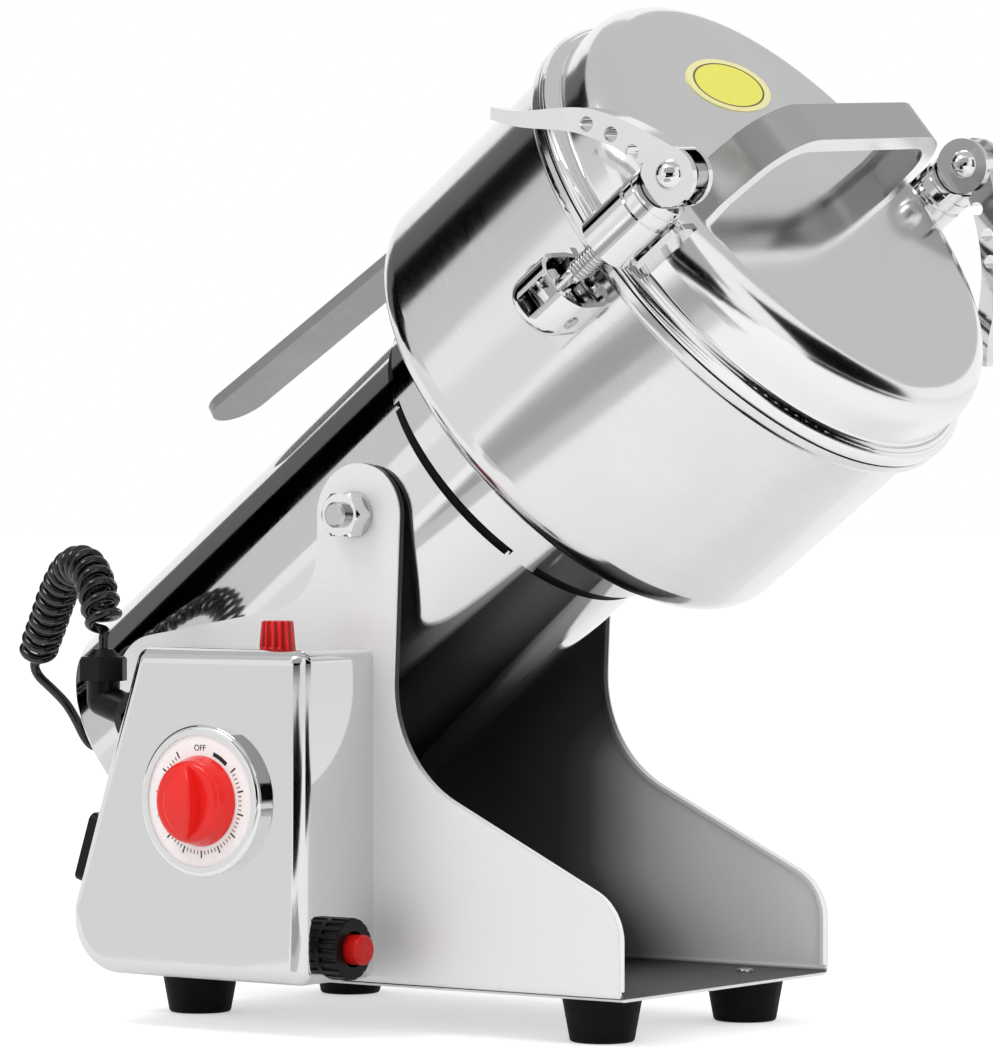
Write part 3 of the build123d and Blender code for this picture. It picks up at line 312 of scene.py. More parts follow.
smoothSkin = (0.02, 0.1 * mm)  # strength and depth of a bump
finishes = {
    "polished_steel": metal("mirrorSteel", grey(0.80), rough=(0.03, 0.08), stretch=spunLines, lines=700,
                            smudge=14, fade=0.95, onSwing=True),
    "satin_steel": metal("satinSteel", grey(0.80), rough=(0.16, 0.26), stretch=lengthLines, lines=1400,
                         smudge=22, fade=0.94, bump=(0.04, 0.1 * mm)),
    "chrome": metal("brightPlate", (0.83, 0.83, 0.84), rough=(0.03, 0.09), stretch=evenGrain, lines=300,
                    smudge=40, fade=0.96),
    "steel": metal("machinedSteel", (0.62, 0.62, 0.63), rough=(0.15, 0.30), stretch=turnedLines),
    "aluminium": metal("castAluminium", (0.66, 0.66, 0.67), rough=(0.35, 0.5), stretch=evenGrain, lines=500,
                       bump=(0.1, 0.2 * mm)),
    "brass": metal("bareBrass", (0.72, 0.53, 0.24), rough=(0.18, 0.32), stretch=turnedLines, fade=0.88),
    "iron": metal("laminatedIron", (0.2, 0.2, 0.21), rough=(0.35, 0.5), stretch=spunLines, smudge=40,
                  fade=0.8, bump=(0.3, 0.3 * mm), onSwing=True),
    "black_rubber": moulded("footRubber", grey(0.003), rough=(0.5, 0.65), Specular_IOR_Level=0.12),
    "black_plastic": moulded("blackMoulding", grey(0.003), rough=(0.28, 0.42), Specular_IOR_Level=0.2),
    "black_cord": moulded("cordSheath", grey(0.004), rough=(0.10, 0.16), bump=(0.05, 0.1 * mm),
                          Specular_IOR_Level=0.6),
    "red_plastic": moulded("redKnob", (0.86, 0.018, 0.014), rough=(0.18, 0.26), lift=1.05, bump=smoothSkin,
                           Specular_IOR_Level=0.4),
    "white_plastic": moulded("dialWhite", (0.97, 0.97, 0.96), rough=(0.25, 0.35), lift=1.02, bump=smoothSkin),
    "yellow_label": moulded("labelYellow", (0.85, 0.82, 0.10), rough=(0.3, 0.4), lift=1.04, bump=smoothSkin),
    "nylon": moulded("paleNylon", (0.8, 0.79, 0.75), rough=(0.4, 0.5), lift=1.03),
    "carbon": moulded("sinteredCarbon", grey(0.03), rough=(0.6, 0.75)),
}


# steel of the channel base, with painted shade inside the channel
baseSetup = {"color": grey(0.93), "rough": (0.46, 0.56), "lines": 1400, "smudge": 16, "fade": 0.95,
             "innerMetal": 0.2, "outerMetal": 0.55,
             "innerY": 72.2 * mm, "floorZ": 18.6 * mm,  # the inside lies between the walls, over the floor
             "paintedCornerShade": 0.10, "cornerRise": (0.8 * mm, 2 * mm),  # painted shadow line where wall meets floor
             "slant": 26 * mm, "slantTop": 60 * mm,  # the painted shade reaches further near the floor
             "upperSlant": 60 * mm, "upperZ": (95 * mm, 160 * mm),  # and further again up in the ears
             "alongX": (-40 * mm, 125 * mm),  # from the end with the darkest painted shade to the mouth
             "paintedShadeTones": [(0.0, 0.025), (0.2, 0.05), (0.29, 0.12), (0.38, 0.4), (0.47, 0.72), (0.56, 0.88),
                       (0.65, 0.96), (0.91, 1.0)]}  # share of the way, painted shade


def baseFinishAndPaintedShade(setup):
    # brushed outside; duller inside, with painted shade: dark where the channel folds round, paler towards
    # its mouth
    color, rough, floorZ = setup["color"], setup["rough"], setup["floorZ"]
    material, tree, shader = newMaterial("baseSteel", color, rough[0], 1.0)
    coords = objectCoords(tree)
    values = polishValues(color, rough, lengthLines, setup["lines"], setup["smudge"], setup["fade"])
    marks = placeGroup(tree, shader, polishMarks, coords, values)
    split = addNode(tree, "ShaderNodeSeparateXYZ")
    across = mathNode(tree, "ABSOLUTE")
    between = mathNode(tree, "LESS_THAN", setup["innerY"])
    above = mathNode(tree, "GREATER_THAN", floorZ)
    inside = mathNode(tree, "MULTIPLY")
    dull = rangeNode(tree, target=(setup["outerMetal"], setup["innerMetal"]))
    slant = rangeNode(tree, (floorZ, setup["slantTop"]), (-setup["slant"], 0), smooth=True)
    lean = mathNode(tree, "ADD")
    upper = rangeNode(tree, setup["upperZ"], (0, -setup["upperSlant"]), smooth=True)
    drop = mathNode(tree, "ADD")
    along = rangeNode(tree, setup["alongX"])
    # painted shade of the inside, darker the further it lies from the mouth
    tone = addNode(tree, "ShaderNodeValToRGB")
    for spot, shade in setup["paintedShadeTones"]:
        stop = tone.color_ramp.elements.new(spot)
        stop.color = (*grey(shade), 1)
    tone.color_ramp.elements.remove(tone.color_ramp.elements[0])
    tone.color_ramp.elements.remove(tone.color_ramp.elements[-1])
    # painted shadow along the foot of the walls, multiplied into the painted shade
    corner = rangeNode(tree, [floorZ + rise for rise in setup["cornerRise"]], (setup["paintedCornerShade"], 1))
    shade = addNode(tree, "ShaderNodeMix", data_type="RGBA", blend_type="MULTIPLY")
    shade.inputs["Factor"].default_value = 1.0
    mix = addNode(tree, "ShaderNodeMix", data_type="RGBA")
    go = tree.links.new
    go(coords, split.inputs[0])
    go(split.outputs["Y"], across.inputs[0])
    go(across.outputs[0], between.inputs[0])
    go(split.outputs["Z"], above.inputs[0])
    go(between.outputs[0], inside.inputs[0])
    go(above.outputs[0], inside.inputs[1])
    go(inside.outputs[0], dull.inputs["Value"])
    go(dull.outputs["Result"], shader.inputs["Metallic"])
    go(split.outputs["Z"], slant.inputs["Value"])
    go(split.outputs["X"], lean.inputs[0])
    go(slant.outputs["Result"], lean.inputs[1])
    go(split.outputs["Z"], upper.inputs["Value"])
    go(lean.outputs[0], drop.inputs[0])
    go(upper.outputs["Result"], drop.inputs[1])
    go(drop.outputs[0], along.inputs["Value"])
    go(along.outputs["Result"], tone.inputs["Fac"])
    go(split.outputs["Z"], corner.inputs["Value"])
    go(tone.outputs["Color"], shade.inputs["A"])
    go(corner.outputs["Result"], shade.inputs["B"])
    go(inside.outputs[0], mix.inputs["Factor"])
    go(marks.outputs["Color"], mix.inputs["A"])
    go(shade.outputs["Result"], mix.inputs["B"])
    go(mix.outputs["Result"], shader.inputs["Base Color"])
    return material


# lens of the lamp
lampSetup = {"color": (0.58, 0.007, 0.008), "rough": 0.16, "gloss": 0.3, "flutes": 14, "grooveTone": 0.45,
             "ridgeTone": 1.6, "ridgeLift": 0.01, "bump": (0.6, 0.6 * mm), "axis": (-16 * mm, -103.5 * mm, 0)}


def lampFinish(setup):
    # red with upright flutes
    color = setup["color"]
    material, tree, shader = newMaterial("lampLens", color, setup["rough"], Specular_IOR_Level=setup["gloss"])
    ridgeColor = [min(c * setup["ridgeTone"] + setup["ridgeLift"], 1) for c in color]
    split = addNode(tree, "ShaderNodeSeparateXYZ")
    turn = mathNode(tree, "ARCTAN2")
    many = mathNode(tree, "MULTIPLY", setup["flutes"])
    wave = mathNode(tree, "SINE")
    tint = rangeNode(tree, (-1, 1))
    mix = addNode(tree, "ShaderNodeMix", data_type="RGBA")
    mix.inputs["A"].default_value = (*[c * setup["grooveTone"] for c in color], 1)
    mix.inputs["B"].default_value = (*ridgeColor, 1)
    relief = addNode(tree, "ShaderNodeBump", Strength=setup["bump"][0], Distance=setup["bump"][1])
    go = tree.links.new
    go(objectCoords(tree, move=setup["axis"]), split.inputs[0])
    go(split.outputs["Y"], turn.inputs[0])
    go(split.outputs["X"], turn.inputs[1])
    go(turn.outputs[0], many.inputs[0])
    go(many.outputs[0], wave.inputs[0])
    go(wave.outputs[0], tint.inputs["Value"])
    go(tint.outputs["Result"], mix.inputs["Factor"])
    go(mix.outputs["Result"], shader.inputs["Base Color"])
    go(wave.outputs[0], relief.inputs["Height"])
    go(relief.outputs["Normal"], shader.inputs["Normal"])
    return material


# oval label on the lid
labelSetup = {"centre": (-54 * mm, 1.6 * mm, 201.7 * mm), "width": 26 * mm, "length": 58 * mm,
              "print": (0.87, 0.84, 0.09), "line": (0.12, 0.10, 0.01), "rim": (0.90, 0.84, 0.40),
              "lineFrom": 0.80, "lineTo": 0.845, "grain": 400, "rough": (0.3, 0.45)}


def labelFinish(setup):
    # yellow with a paler rim and a thin line between them
    material, tree, shader = newMaterial("labelPrint", setup["print"], setup["rough"][0])
    coords = objectCoords(tree, bowlFrame.to_euler("XYZ"), bowlFrame @ Vector(setup["centre"]),
                          (setup["width"] / 2, setup["length"] / 2, 1))
    flat = addNode(tree, "ShaderNodeVectorMath", operation="MULTIPLY")
    flat.inputs[1].default_value = (1, 1, 0)
    reach = addNode(tree, "ShaderNodeVectorMath", operation="LENGTH")
    ramp = addNode(tree, "ShaderNodeValToRGB")
    ramp.color_ramp.interpolation = "CONSTANT"
    ramp.color_ramp.elements[0].color = (*setup["print"], 1)
    ramp.color_ramp.elements[1].position = setup["lineFrom"]
    ramp.color_ramp.elements[1].color = (*setup["line"], 1)
    ramp.color_ramp.elements.new(setup["lineTo"]).color = (*setup["rim"], 1)
    grain = addNode(tree, "ShaderNodeTexNoise", Scale=setup["grain"], Detail=2.0)
    rough = rangeNode(tree, target=setup["rough"])
    go = tree.links.new
    go(coords, flat.inputs[0])
    go(flat.outputs[0], reach.inputs[0])
    go(reach.outputs["Value"], ramp.inputs["Fac"])
    go(ramp.outputs["Color"], shader.inputs["Base Color"])
    go(objectCoords(tree), grain.inputs["Vector"])
    go(grain.outputs["Fac"], rough.inputs["Value"])
    go(rough.outputs["Result"], shader.inputs["Roughness"])
    return material


# strap handle of the lid, with painted highlights on its edges
strapSetup = {"face": grey(0.58), "edge": grey(0.97), "rough": (0.15, 0.23), "lines": 900, "smudge": 20,
              "fade": 0.95, "centre": (-5.5 * mm, 0, 0), "edgeFrom": 8.6 * mm}


def strapFinishAndHighlight(setup):
    # dark satin face, with painted highlights along both edges
    face, rough = setup["face"], setup["rough"]
    material, tree, shader = newMaterial("strapSteel", face, rough[0], 1.0)
    coords = objectCoords(tree, bowlFrame.to_euler("XYZ"), bowlFrame @ Vector(setup["centre"]))
    values = polishValues(face, rough, crossLines, setup["lines"], setup["smudge"], setup["fade"])
    marks = placeGroup(tree, shader, polishMarks, coords, values)
    split = addNode(tree, "ShaderNodeSeparateXYZ")
    away = mathNode(tree, "ABSOLUTE")
    # painted highlight where the strap's edges lie
    edge = mathNode(tree, "GREATER_THAN", setup["edgeFrom"])
    mix = addNode(tree, "ShaderNodeMix", data_type="RGBA")
    mix.inputs["B"].default_value = (*setup["edge"], 1)
    go = tree.links.new
    go(coords, split.inputs[0])
    go(split.outputs["X"], away.inputs[0])
    go(away.outputs[0], edge.inputs[0])
    go(edge.outputs[0], mix.inputs["Factor"])
    go(marks.outputs["Color"], mix.inputs["A"])
    go(mix.outputs["Result"], shader.inputs["Base Color"])
    return material


# pieces whose finish differs from the rest of their slot
ownFinishes = {
    "bowl": metal("spunBowl", grey(0.80), rough=(0.07, 0.14), stretch=spunLines, smudge=12, fade=0.95,
                  onSwing=True),
    "lid": metal("satinLid", grey(0.88), rough=(0.09, 0.15), stretch=spunLines, smudge=12, fade=0.95,
                 onSwing=True),
    # painted highlights on the strap's edges
    "lid_handle": strapFinishAndHighlight(strapSetup),
    "pour_handle": metal("satinBar", grey(0.27), rough=(0.18, 0.28), stretch=uprightLines, smudge=20,
                         fade=0.93, onSwing=True),
    "control_box": metal("boxSteel", grey(0.74), rough=(0.03, 0.05), stretch=uprightLines, smudge=14,
                         fade=0.985),
    # painted shade inside the channel
    "base_frame": baseFinishAndPaintedShade(baseSetup),
    "indicator_lamp": lampFinish(lampSetup),
    "lid_label": labelFinish(labelSetup),
    "reset_button": moulded("redButton", (0.50, 0.008, 0.006), rough=(0.2, 0.3), lift=1.1, bump=smoothSkin,
                            Specular_IOR_Level=0.25),
}
slots = {part["node"]: part["material_slot"] for part in frame["record"]["subparts"]}
for name, slot in slots.items():
    mesh = nodes[name].data
    mesh.materials.clear()
    mesh.materials.append(ownFinishes.get(name, finishes[slot]))
print("finishes set:", len(finishes) + len(ownFinishes))


# curly cord, a helix round a smooth line from the elbow gland to the rear grommet
cordSetup = {"wire": 2.0 * mm, "coil": 6.2 * mm, "turns": 18, "ramp": 9 * mm, "stub": 3.8 * mm,
             "tail": 56 * mm, "perTurn": 30, "spareTurns": 8, "sides": 12, "routeSteps": 40}
cordRoute = [(-101.46, -106, 147.11), (-101.46, -106, 150.91), (-101.46, -106, 154.71),
             (-104.5, -104.2, 164.5), (-111, -99.5, 173), (-122.5, -92, 180.5), (-137, -84.5, 179),
             (-150, -77.5, 168), (-160.5, -71, 156.5), (-171, -65, 145.5), (-178.5, -60.5, 136),
             (-167, -58.5, 127), (-160.5, -57, 120.5), (-155, -51, 103.5), (-146.93, -50, 107.95),
             (-144.66, -50, 109.67), (-142.39, -50, 111.39)]  # in mm


def readRoute(points, steps):
    curve = bpy.data.curves.new("cordRoute", "CURVE")
    curve.dimensions = "3D"
    curve.resolution_u = steps
    spline = curve.splines.new("NURBS")
    spline.points.add(len(points) - 1)
    for spot, p in zip(spline.points, points):
        spot.co = (p[0] * mm, p[1] * mm, p[2] * mm, 1)
    spline.order_u = 3
    spline.use_endpoint_u = True
    mesh = plainMesh(link(bpy.data.objects.new("cordRoute", curve)))
    line = [v.co.copy() for v in mesh.vertices]
    bpy.data.meshes.remove(mesh)
    return line


def carryFrame(line, side):
    # a frame that goes along the line without twisting
    frames = []
    for k in range(len(line)):
        along = (line[min(k + 1, len(line) - 1)] - line[max(k - 1, 0)]).normalized()
        side = (side - along * side.dot(along)).normalized()
        frames.append((side.copy(), along.cross(side)))
    return frames


def ease(share):
    share = min(max(share, 0), 1)
    return share * share * (3 - 2 * share)


def windCoil(line, setup):
    lengths = [0]
    for a, b in zip(line, line[1:]):
        lengths.append(lengths[-1] + (b - a).length)
    frames = carryFrame(line, Vector((0, 1, 0)))
    total, start, end = lengths[-1], setup["stub"], lengths[-1] - setup["tail"]
    count = setup["perTurn"] * (setup["turns"] + setup["spareTurns"])  # the spare ones make the straight ends
    step = total / count
    swell = []  # 0 where the wire runs straight, 1 where it is wound in full
    for n in range(count + 1):
        swell.append(ease((step * n - start) / setup["ramp"]) * ease((end - step * n) / setup["ramp"]))
    rate = math.tau * setup["turns"] / (sum(swell) * step)
    points, turn, k = [], 0, 0
    for n in range(count + 1):
        at = step * n
        while k < len(line) - 2 and lengths[k + 1] < at:
            k += 1
        share = (at - lengths[k]) / (lengths[k + 1] - lengths[k])
        spot = line[k].lerp(line[k + 1], share)
        side, other = frames[k]
        points.append(spot + (side * math.cos(turn) + other * math.sin(turn)) * setup["coil"] * swell[n])
        turn += rate * step * swell[n]
    return points


def sweepTube(name, points, radius, sides):
    frames = carryFrame(points, Vector((0, 1, 0)))
    verts, faces = [], []
    for p, (side, other) in zip(points, frames):
        for s in range(sides):
            a = math.tau * s / sides
            verts.append(p + (side * math.cos(a) + other * math.sin(a)) * radius)
    for k in range(len(points) - 1):
        for s in range(sides):
            t = (s + 1) % sides
            faces.append((k * sides + s, k * sides + t, (k + 1) * sides + t, (k + 1) * sides + s))
    last = (len(points) - 1) * sides
    faces.append(tuple(range(sides - 1, -1, -1)))
    faces.append(tuple(last + s for s in range(sides)))
    return meshObject(name, verts, faces)


def makeCord(setup):
    points = windCoil(readRoute(cordRoute, setup["routeSteps"]), setup)
    cord = sweepTube("curlyCord", points, setup["wire"], setup["sides"])
    cord.data.materials.append(finishes["black_cord"])
    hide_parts("curly_cord")
    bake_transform(cord)


makeCord(cordSetup)


# geometry node trees for what repeats
geometryOutput = [("Geometry", "geometry")]


def endTree(tree, gin, gout, shape):
    real = addNode(tree, "GeometryNodeRealizeInstances")
    paint = addNode(tree, "GeometryNodeSetMaterial")
    go = tree.links.new
    go(shape, real.inputs[0])
    go(real.outputs[0], paint.inputs["Geometry"])
    go(gin.outputs["Material"], paint.inputs["Material"])
    go(paint.outputs[0], gout.inputs["Geometry"])
    return tree


def runTree(name, tree, values, place, material):
    # evaluates the tree once and keeps a plain mesh, put in place
    holder = link(bpy.data.objects.new(name + "Source", bpy.data.meshes.new(name + "Source")))
    modifier = holder.modifiers.new("nodes", "NODES")
    modifier.node_group = tree
    for item in tree.interface.items_tree:
        if item.in_out == "INPUT" and item.name in values:
            modifier[item.identifier] = values[item.name]
        elif item.in_out == "INPUT" and item.name == "Material":
            modifier[item.identifier] = material
    mesh = plainMesh(holder)
    mesh.transform(place)
    mesh.name = name
    return link(bpy.data.objects.new(name, mesh))


def makeTickTree():
    # bars that point outwards from a centre, in a row round it
    tree, gin, gout = newTree("GeometryNodeTree", "dialTicks", [
        ("Count", "count", 10), ("Start", "number", 0.0), ("Step", "number", 0.1), ("Radius", "number", 0.02),
        ("Length", "number", 0.002), ("Width", "number", 0.0003), ("Thick", "number", 0.0001),
        ("Material", "material", None)], geometryOutput)
    index = addNode(tree, "GeometryNodeInputIndex")
    angle = mathNode(tree, "MULTIPLY_ADD")
    sine = mathNode(tree, "SINE")
    cosine = mathNode(tree, "COSINE")
    spoke = addNode(tree, "ShaderNodeCombineXYZ")
    reach = addNode(tree, "ShaderNodeVectorMath", operation="SCALE")
    spots = addNode(tree, "GeometryNodePoints")
    size = addNode(tree, "ShaderNodeCombineXYZ")
    bar = addNode(tree, "GeometryNodeMeshCube")
    turn = addNode(tree, "ShaderNodeCombineXYZ")
    put = addNode(tree, "GeometryNodeInstanceOnPoints")
    go = tree.links.new
    go(index.outputs[0], angle.inputs[0])
    go(gin.outputs["Step"], angle.inputs[1])
    go(gin.outputs["Start"], angle.inputs[2])
    go(angle.outputs[0], sine.inputs[0])
    go(angle.outputs[0], cosine.inputs[0])
    go(sine.outputs[0], spoke.inputs["X"])
    go(cosine.outputs[0], spoke.inputs["Z"])
    go(spoke.outputs[0], reach.inputs[0])
    go(gin.outputs["Radius"], reach.inputs["Scale"])
    go(gin.outputs["Count"], spots.inputs["Count"])
    go(reach.outputs[0], spots.inputs["Position"])
    go(gin.outputs["Width"], size.inputs["X"])
    go(gin.outputs["Thick"], size.inputs["Y"])
    go(gin.outputs["Length"], size.inputs["Z"])
    go(size.outputs[0], bar.inputs["Size"])
    go(angle.outputs[0], turn.inputs["Y"])
    go(spots.outputs[0], put.inputs["Points"])
    go(bar.outputs["Mesh"], put.inputs["Instance"])
    go(turn.outputs[0], put.inputs["Rotation"])
    return endTree(tree, gin, gout, put.outputs[0])


def makeThreadTree():
    # a ridge that climbs round a bolt
    tree, gin, gout = newTree("GeometryNodeTree", "boltThread", [
        ("Turns", "number", 10.0), ("Radius", "number", 0.004), ("Height", "number", 0.02),
        ("Ridge", "number", 0.0005), ("Material", "material", None)], geometryOutput)
    spiral = addNode(tree, "GeometryNodeCurveSpiral", Resolution=20)
    ridge = addNode(tree, "GeometryNodeCurvePrimitiveCircle", Resolution=4)
    sweep = addNode(tree, "GeometryNodeCurveToMesh", Fill_Caps=True)
    go = tree.links.new
    go(gin.outputs["Turns"], spiral.inputs["Rotations"])
    go(gin.outputs["Radius"], spiral.inputs["Start Radius"])
    go(gin.outputs["Radius"], spiral.inputs["End Radius"])
    go(gin.outputs["Height"], spiral.inputs["Height"])
    go(gin.outputs["Ridge"], ridge.inputs["Radius"])
    go(spiral.outputs[0], sweep.inputs["Curve"])
    go(ridge.outputs[0], sweep.inputs["Profile Curve"])
    return endTree(tree, gin, gout, sweep.outputs[0])


def makeStripTree():
    # flat strips bent round an axis, evenly spaced
    tree, gin, gout = newTree("GeometryNodeTree", "ventStrips", [
        ("Count", "count", 5), ("Radius", "number", 0.068), ("Start", "number", 0.0),
        ("Sweep", "number", 1.0), ("Wide", "number", 0.003), ("High", "number", 0.003),
        ("Material", "material", None)], geometryOutput)
    arc = addNode(tree, "GeometryNodeCurveArc", Resolution=40)
    section = addNode(tree, "GeometryNodeCurvePrimitiveQuadrilateral")
    sweep = addNode(tree, "GeometryNodeCurveToMesh", Fill_Caps=True)
    spots = addNode(tree, "GeometryNodePoints")
    index = addNode(tree, "GeometryNodeInputIndex")
    share = mathNode(tree, "DIVIDE")
    share.inputs[0].default_value = math.tau
    turn = mathNode(tree, "MULTIPLY")
    spin = addNode(tree, "ShaderNodeCombineXYZ")
    put = addNode(tree, "GeometryNodeInstanceOnPoints")
    go = tree.links.new
    go(gin.outputs["Radius"], arc.inputs["Radius"])
    go(gin.outputs["Start"], arc.inputs["Start Angle"])
    go(gin.outputs["Sweep"], arc.inputs["Sweep Angle"])
    go(gin.outputs["Wide"], section.inputs["Width"])
    go(gin.outputs["High"], section.inputs["Height"])
    go(arc.outputs["Curve"], sweep.inputs["Curve"])
    go(section.outputs[0], sweep.inputs["Profile Curve"])
    go(gin.outputs["Count"], spots.inputs["Count"])
    go(gin.outputs["Count"], share.inputs[1])
    go(index.outputs[0], turn.inputs[0])
    go(share.outputs[0], turn.inputs[1])
    go(turn.outputs[0], spin.inputs["Z"])
    go(spots.outputs[0], put.inputs["Points"])
    go(sweep.outputs[0], put.inputs["Instance"])
    go(spin.outputs[0], put.inputs["Rotation"])
    return endTree(tree, gin, gout, put.outputs[0])


# marks printed on the dial
dialSetup = {"centre": (-39 * mm, -122.45 * mm, 90 * mm), "ink": grey(0.012), "inkRough": (0.4, 0.5),
             "inkGloss": 0.3, "thick": 0.1 * mm, "ticks": 56, "start": 53, "step": 5, "radius": 19.8 * mm,
             "length": 1.5 * mm, "width": 0.32 * mm, "boldEvery": 5, "boldLength": 2.8 * mm,
             "boldWidth": 0.6 * mm, "word": "OFF", "wordSize": 3.3 * mm, "wordRise": 20.4 * mm,
             "barTurns": (20, 42), "barRadii": (18.6 * mm, 20.2 * mm), "barSteps": 16}


def flatArc(name, radii, turns, thick, steps):
    (low, high), (start, end) = radii, turns
    verts, faces = [], []
    for k in range(steps + 1):
        a = math.radians(start + (end - start) * k / steps)
        for r, y in ((low, 0), (high, 0), (high, -thick), (low, -thick)):
            verts.append((r * math.sin(a), y, r * math.cos(a)))
    for k in range(steps):
        for j in range(4):
            n = (j + 1) % 4
            faces.append((4 * k + j, 4 * k + n, 4 * k + 4 + n, 4 * k + 4 + j))
    faces.append((3, 2, 1, 0))
    faces.append(tuple(4 * steps + j for j in range(4)))
    arc = meshObject(name, verts, faces, False)
    fixNormals(arc.data)
    return arc


def wordMesh(name, text, size, depth):
    # letters as a mesh, standing upright and facing the front
    curve = bpy.data.curves.new(name, "FONT")
    curve.body, curve.size, curve.extrude = text, size, depth / 2
    curve.align_x, curve.align_y = "CENTER", "CENTER"
    mesh = plainMesh(link(bpy.data.objects.new(name + "Source", curve)))
    mesh.transform(Matrix.Rotation(math.radians(90), 4, "X"))
    return link(bpy.data.objects.new(name, mesh))


def makeDialMarks(setup):
    ink = moulded("dialInk", setup["ink"], setup["inkRough"], Specular_IOR_Level=setup["inkGloss"])
    tickTree = makeTickTree()
    place = Matrix.Translation(setup["centre"])
    step, every = math.radians(setup["step"]), setup["boldEvery"]
    fine = {"Count": setup["ticks"], "Start": math.radians(setup["start"]), "Step": step,
            "Radius": setup["radius"], "Length": setup["length"], "Width": setup["width"],
            "Thick": setup["thick"]}
    bold = dict(fine, Count=setup["ticks"] // every + 1, Step=step * every,
                Radius=setup["radius"] + (setup["boldLength"] - setup["length"]) / 2,
                Length=setup["boldLength"], Width=setup["boldWidth"])
    pieces = [runTree("dialTicks", tickTree, fine, place, ink),
              runTree("dialBoldTicks", tickTree, bold, place, ink)]
    bar = flatArc("dialBar", setup["barRadii"], setup["barTurns"], setup["thick"], setup["barSteps"])
    bar.data.transform(place)
    word = wordMesh("dialWord", setup["word"], setup["wordSize"], setup["thick"])
    word.data.transform(place @ Matrix.Translation((0, 0, setup["wordRise"])))
    for piece in (bar, word):
        piece.data.materials.append(ink)
        pieces.append(piece)
    for piece in pieces:
        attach(piece, "base")
    print("dial marked")


makeDialMarks(dialSetup)


# thread on the two clamp bolts, between pocket and sleeve
threadSetup = {"side": 114.5 * mm, "low": 161 * mm, "height": 15.5 * mm, "pitch": 1.5 * mm,
               "radius": 3.8 * mm, "ridge": 0.55 * mm}


def makeThreads(setup):
    threadTree = makeThreadTree()
    values = {"Turns": setup["height"] / setup["pitch"], "Radius": setup["radius"],
              "Height": setup["height"], "Ridge": setup["ridge"]}
    for name, side, body in (("nearThread", -1, "near_clamp"), ("farThread", 1, "far_clamp")):
        place = bowlFrame @ Matrix.Translation((0, side * setup["side"], setup["low"]))
        thread = runTree(name, threadTree, values, place, finishes["steel"])
        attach(thread, body)
    print("bolts threaded")


makeThreads(threadSetup)


# black strips in the vents between barrel and bowl, as painted shade for the dark gaps there
ventSetup = {"count": 5, "radius": 67.9 * mm, "start": 34.6, "sweep": 61.4, "wide": 2.8 * mm,
             "high": 5.0 * mm, "middle": 38.3 * mm}


def makeVentStrips(setup):
    values = {"Count": setup["count"], "Radius": setup["radius"], "Start": math.radians(setup["start"]),
              "Sweep": math.radians(setup["sweep"]), "Wide": setup["wide"], "High": setup["high"]}
    place = swingFrame @ Matrix.Translation((0, 0, setup["middle"]))
    # black rubber strips, painted shade where the vents show dark
    strips = runTree("ventStrips", makeStripTree(), values, place, finishes["black_rubber"])
    fixNormals(strips.data)
    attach(strips, "swing")
    print("vents lined")


makeVentStrips(ventSetup)


# smooth rolled bead round the rim of the lid
beadSetup = {"radius": 103.6 * mm, "height": 173.6 * mm, "long": 4.3 * mm, "short": 2.3 * mm, "lean": 45,
             "steps": 256, "sides": 32}


def makeBead(setup):
    verts, faces, steps, sides = [], [], setup["steps"], setup["sides"]
    leaning = Matrix.Rotation(-math.radians(setup["lean"]), 2)
    for k in range(steps):
        for s in range(sides):
            around, roll = math.tau * k / steps, math.tau * s / sides
            out, up = leaning @ Vector((setup["long"] * math.cos(roll), setup["short"] * math.sin(roll)))
            reach, height = setup["radius"] + out, setup["height"] + up
            verts.append(swingFrame @ Vector((reach * math.cos(around), reach * math.sin(around), height)))
            after, other = (k + 1) % steps * sides, (s + 1) % sides
            faces.append((k * sides + s, after + s, after + other, k * sides + other))
    bead = meshObject("lidBead", verts, faces)
    fixNormals(bead.data)
    bead.data.materials.append(ownFinishes["lid"])
    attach(bead, "lid")
    print("rim rolled")


makeBead(beadSetup)


# world and floor of the studio
studioSetup = {"world": 0.88, "floor": grey(0.80), "floorReach": 30, "floorDrop": 0.2 * mm,
               "cameraLift": 0.45, "glossLift": 0.2}


def makeWorld(setup):
    # white to the camera and in reflections, a little darker as a light
    world = bpy.data.worlds.new("studio")
    scene.world = world
    world.use_nodes = True
    tree = world.node_tree
    tree.nodes.clear()
    path = addNode(tree, "ShaderNodeLightPath")
    seen = mathNode(tree, "MAXIMUM")
    through = mathNode(tree, "MAXIMUM")
    level = rangeNode(tree, target=(setup["world"], 1))
    shader = addNode(tree, "ShaderNodeBackground", Color=(1, 1, 1, 1))
    out = addNode(tree, "ShaderNodeOutputWorld")
    go = tree.links.new
    go(path.outputs["Is Camera Ray"], seen.inputs[0])
    go(path.outputs["Is Glossy Ray"], seen.inputs[1])
    go(seen.outputs[0], through.inputs[0])
    go(path.outputs["Is Transmission Ray"], through.inputs[1])
    go(through.outputs[0], level.inputs["Value"])
    go(level.outputs["Result"], shader.inputs["Strength"])
    go(shader.outputs["Background"], out.inputs["Surface"])


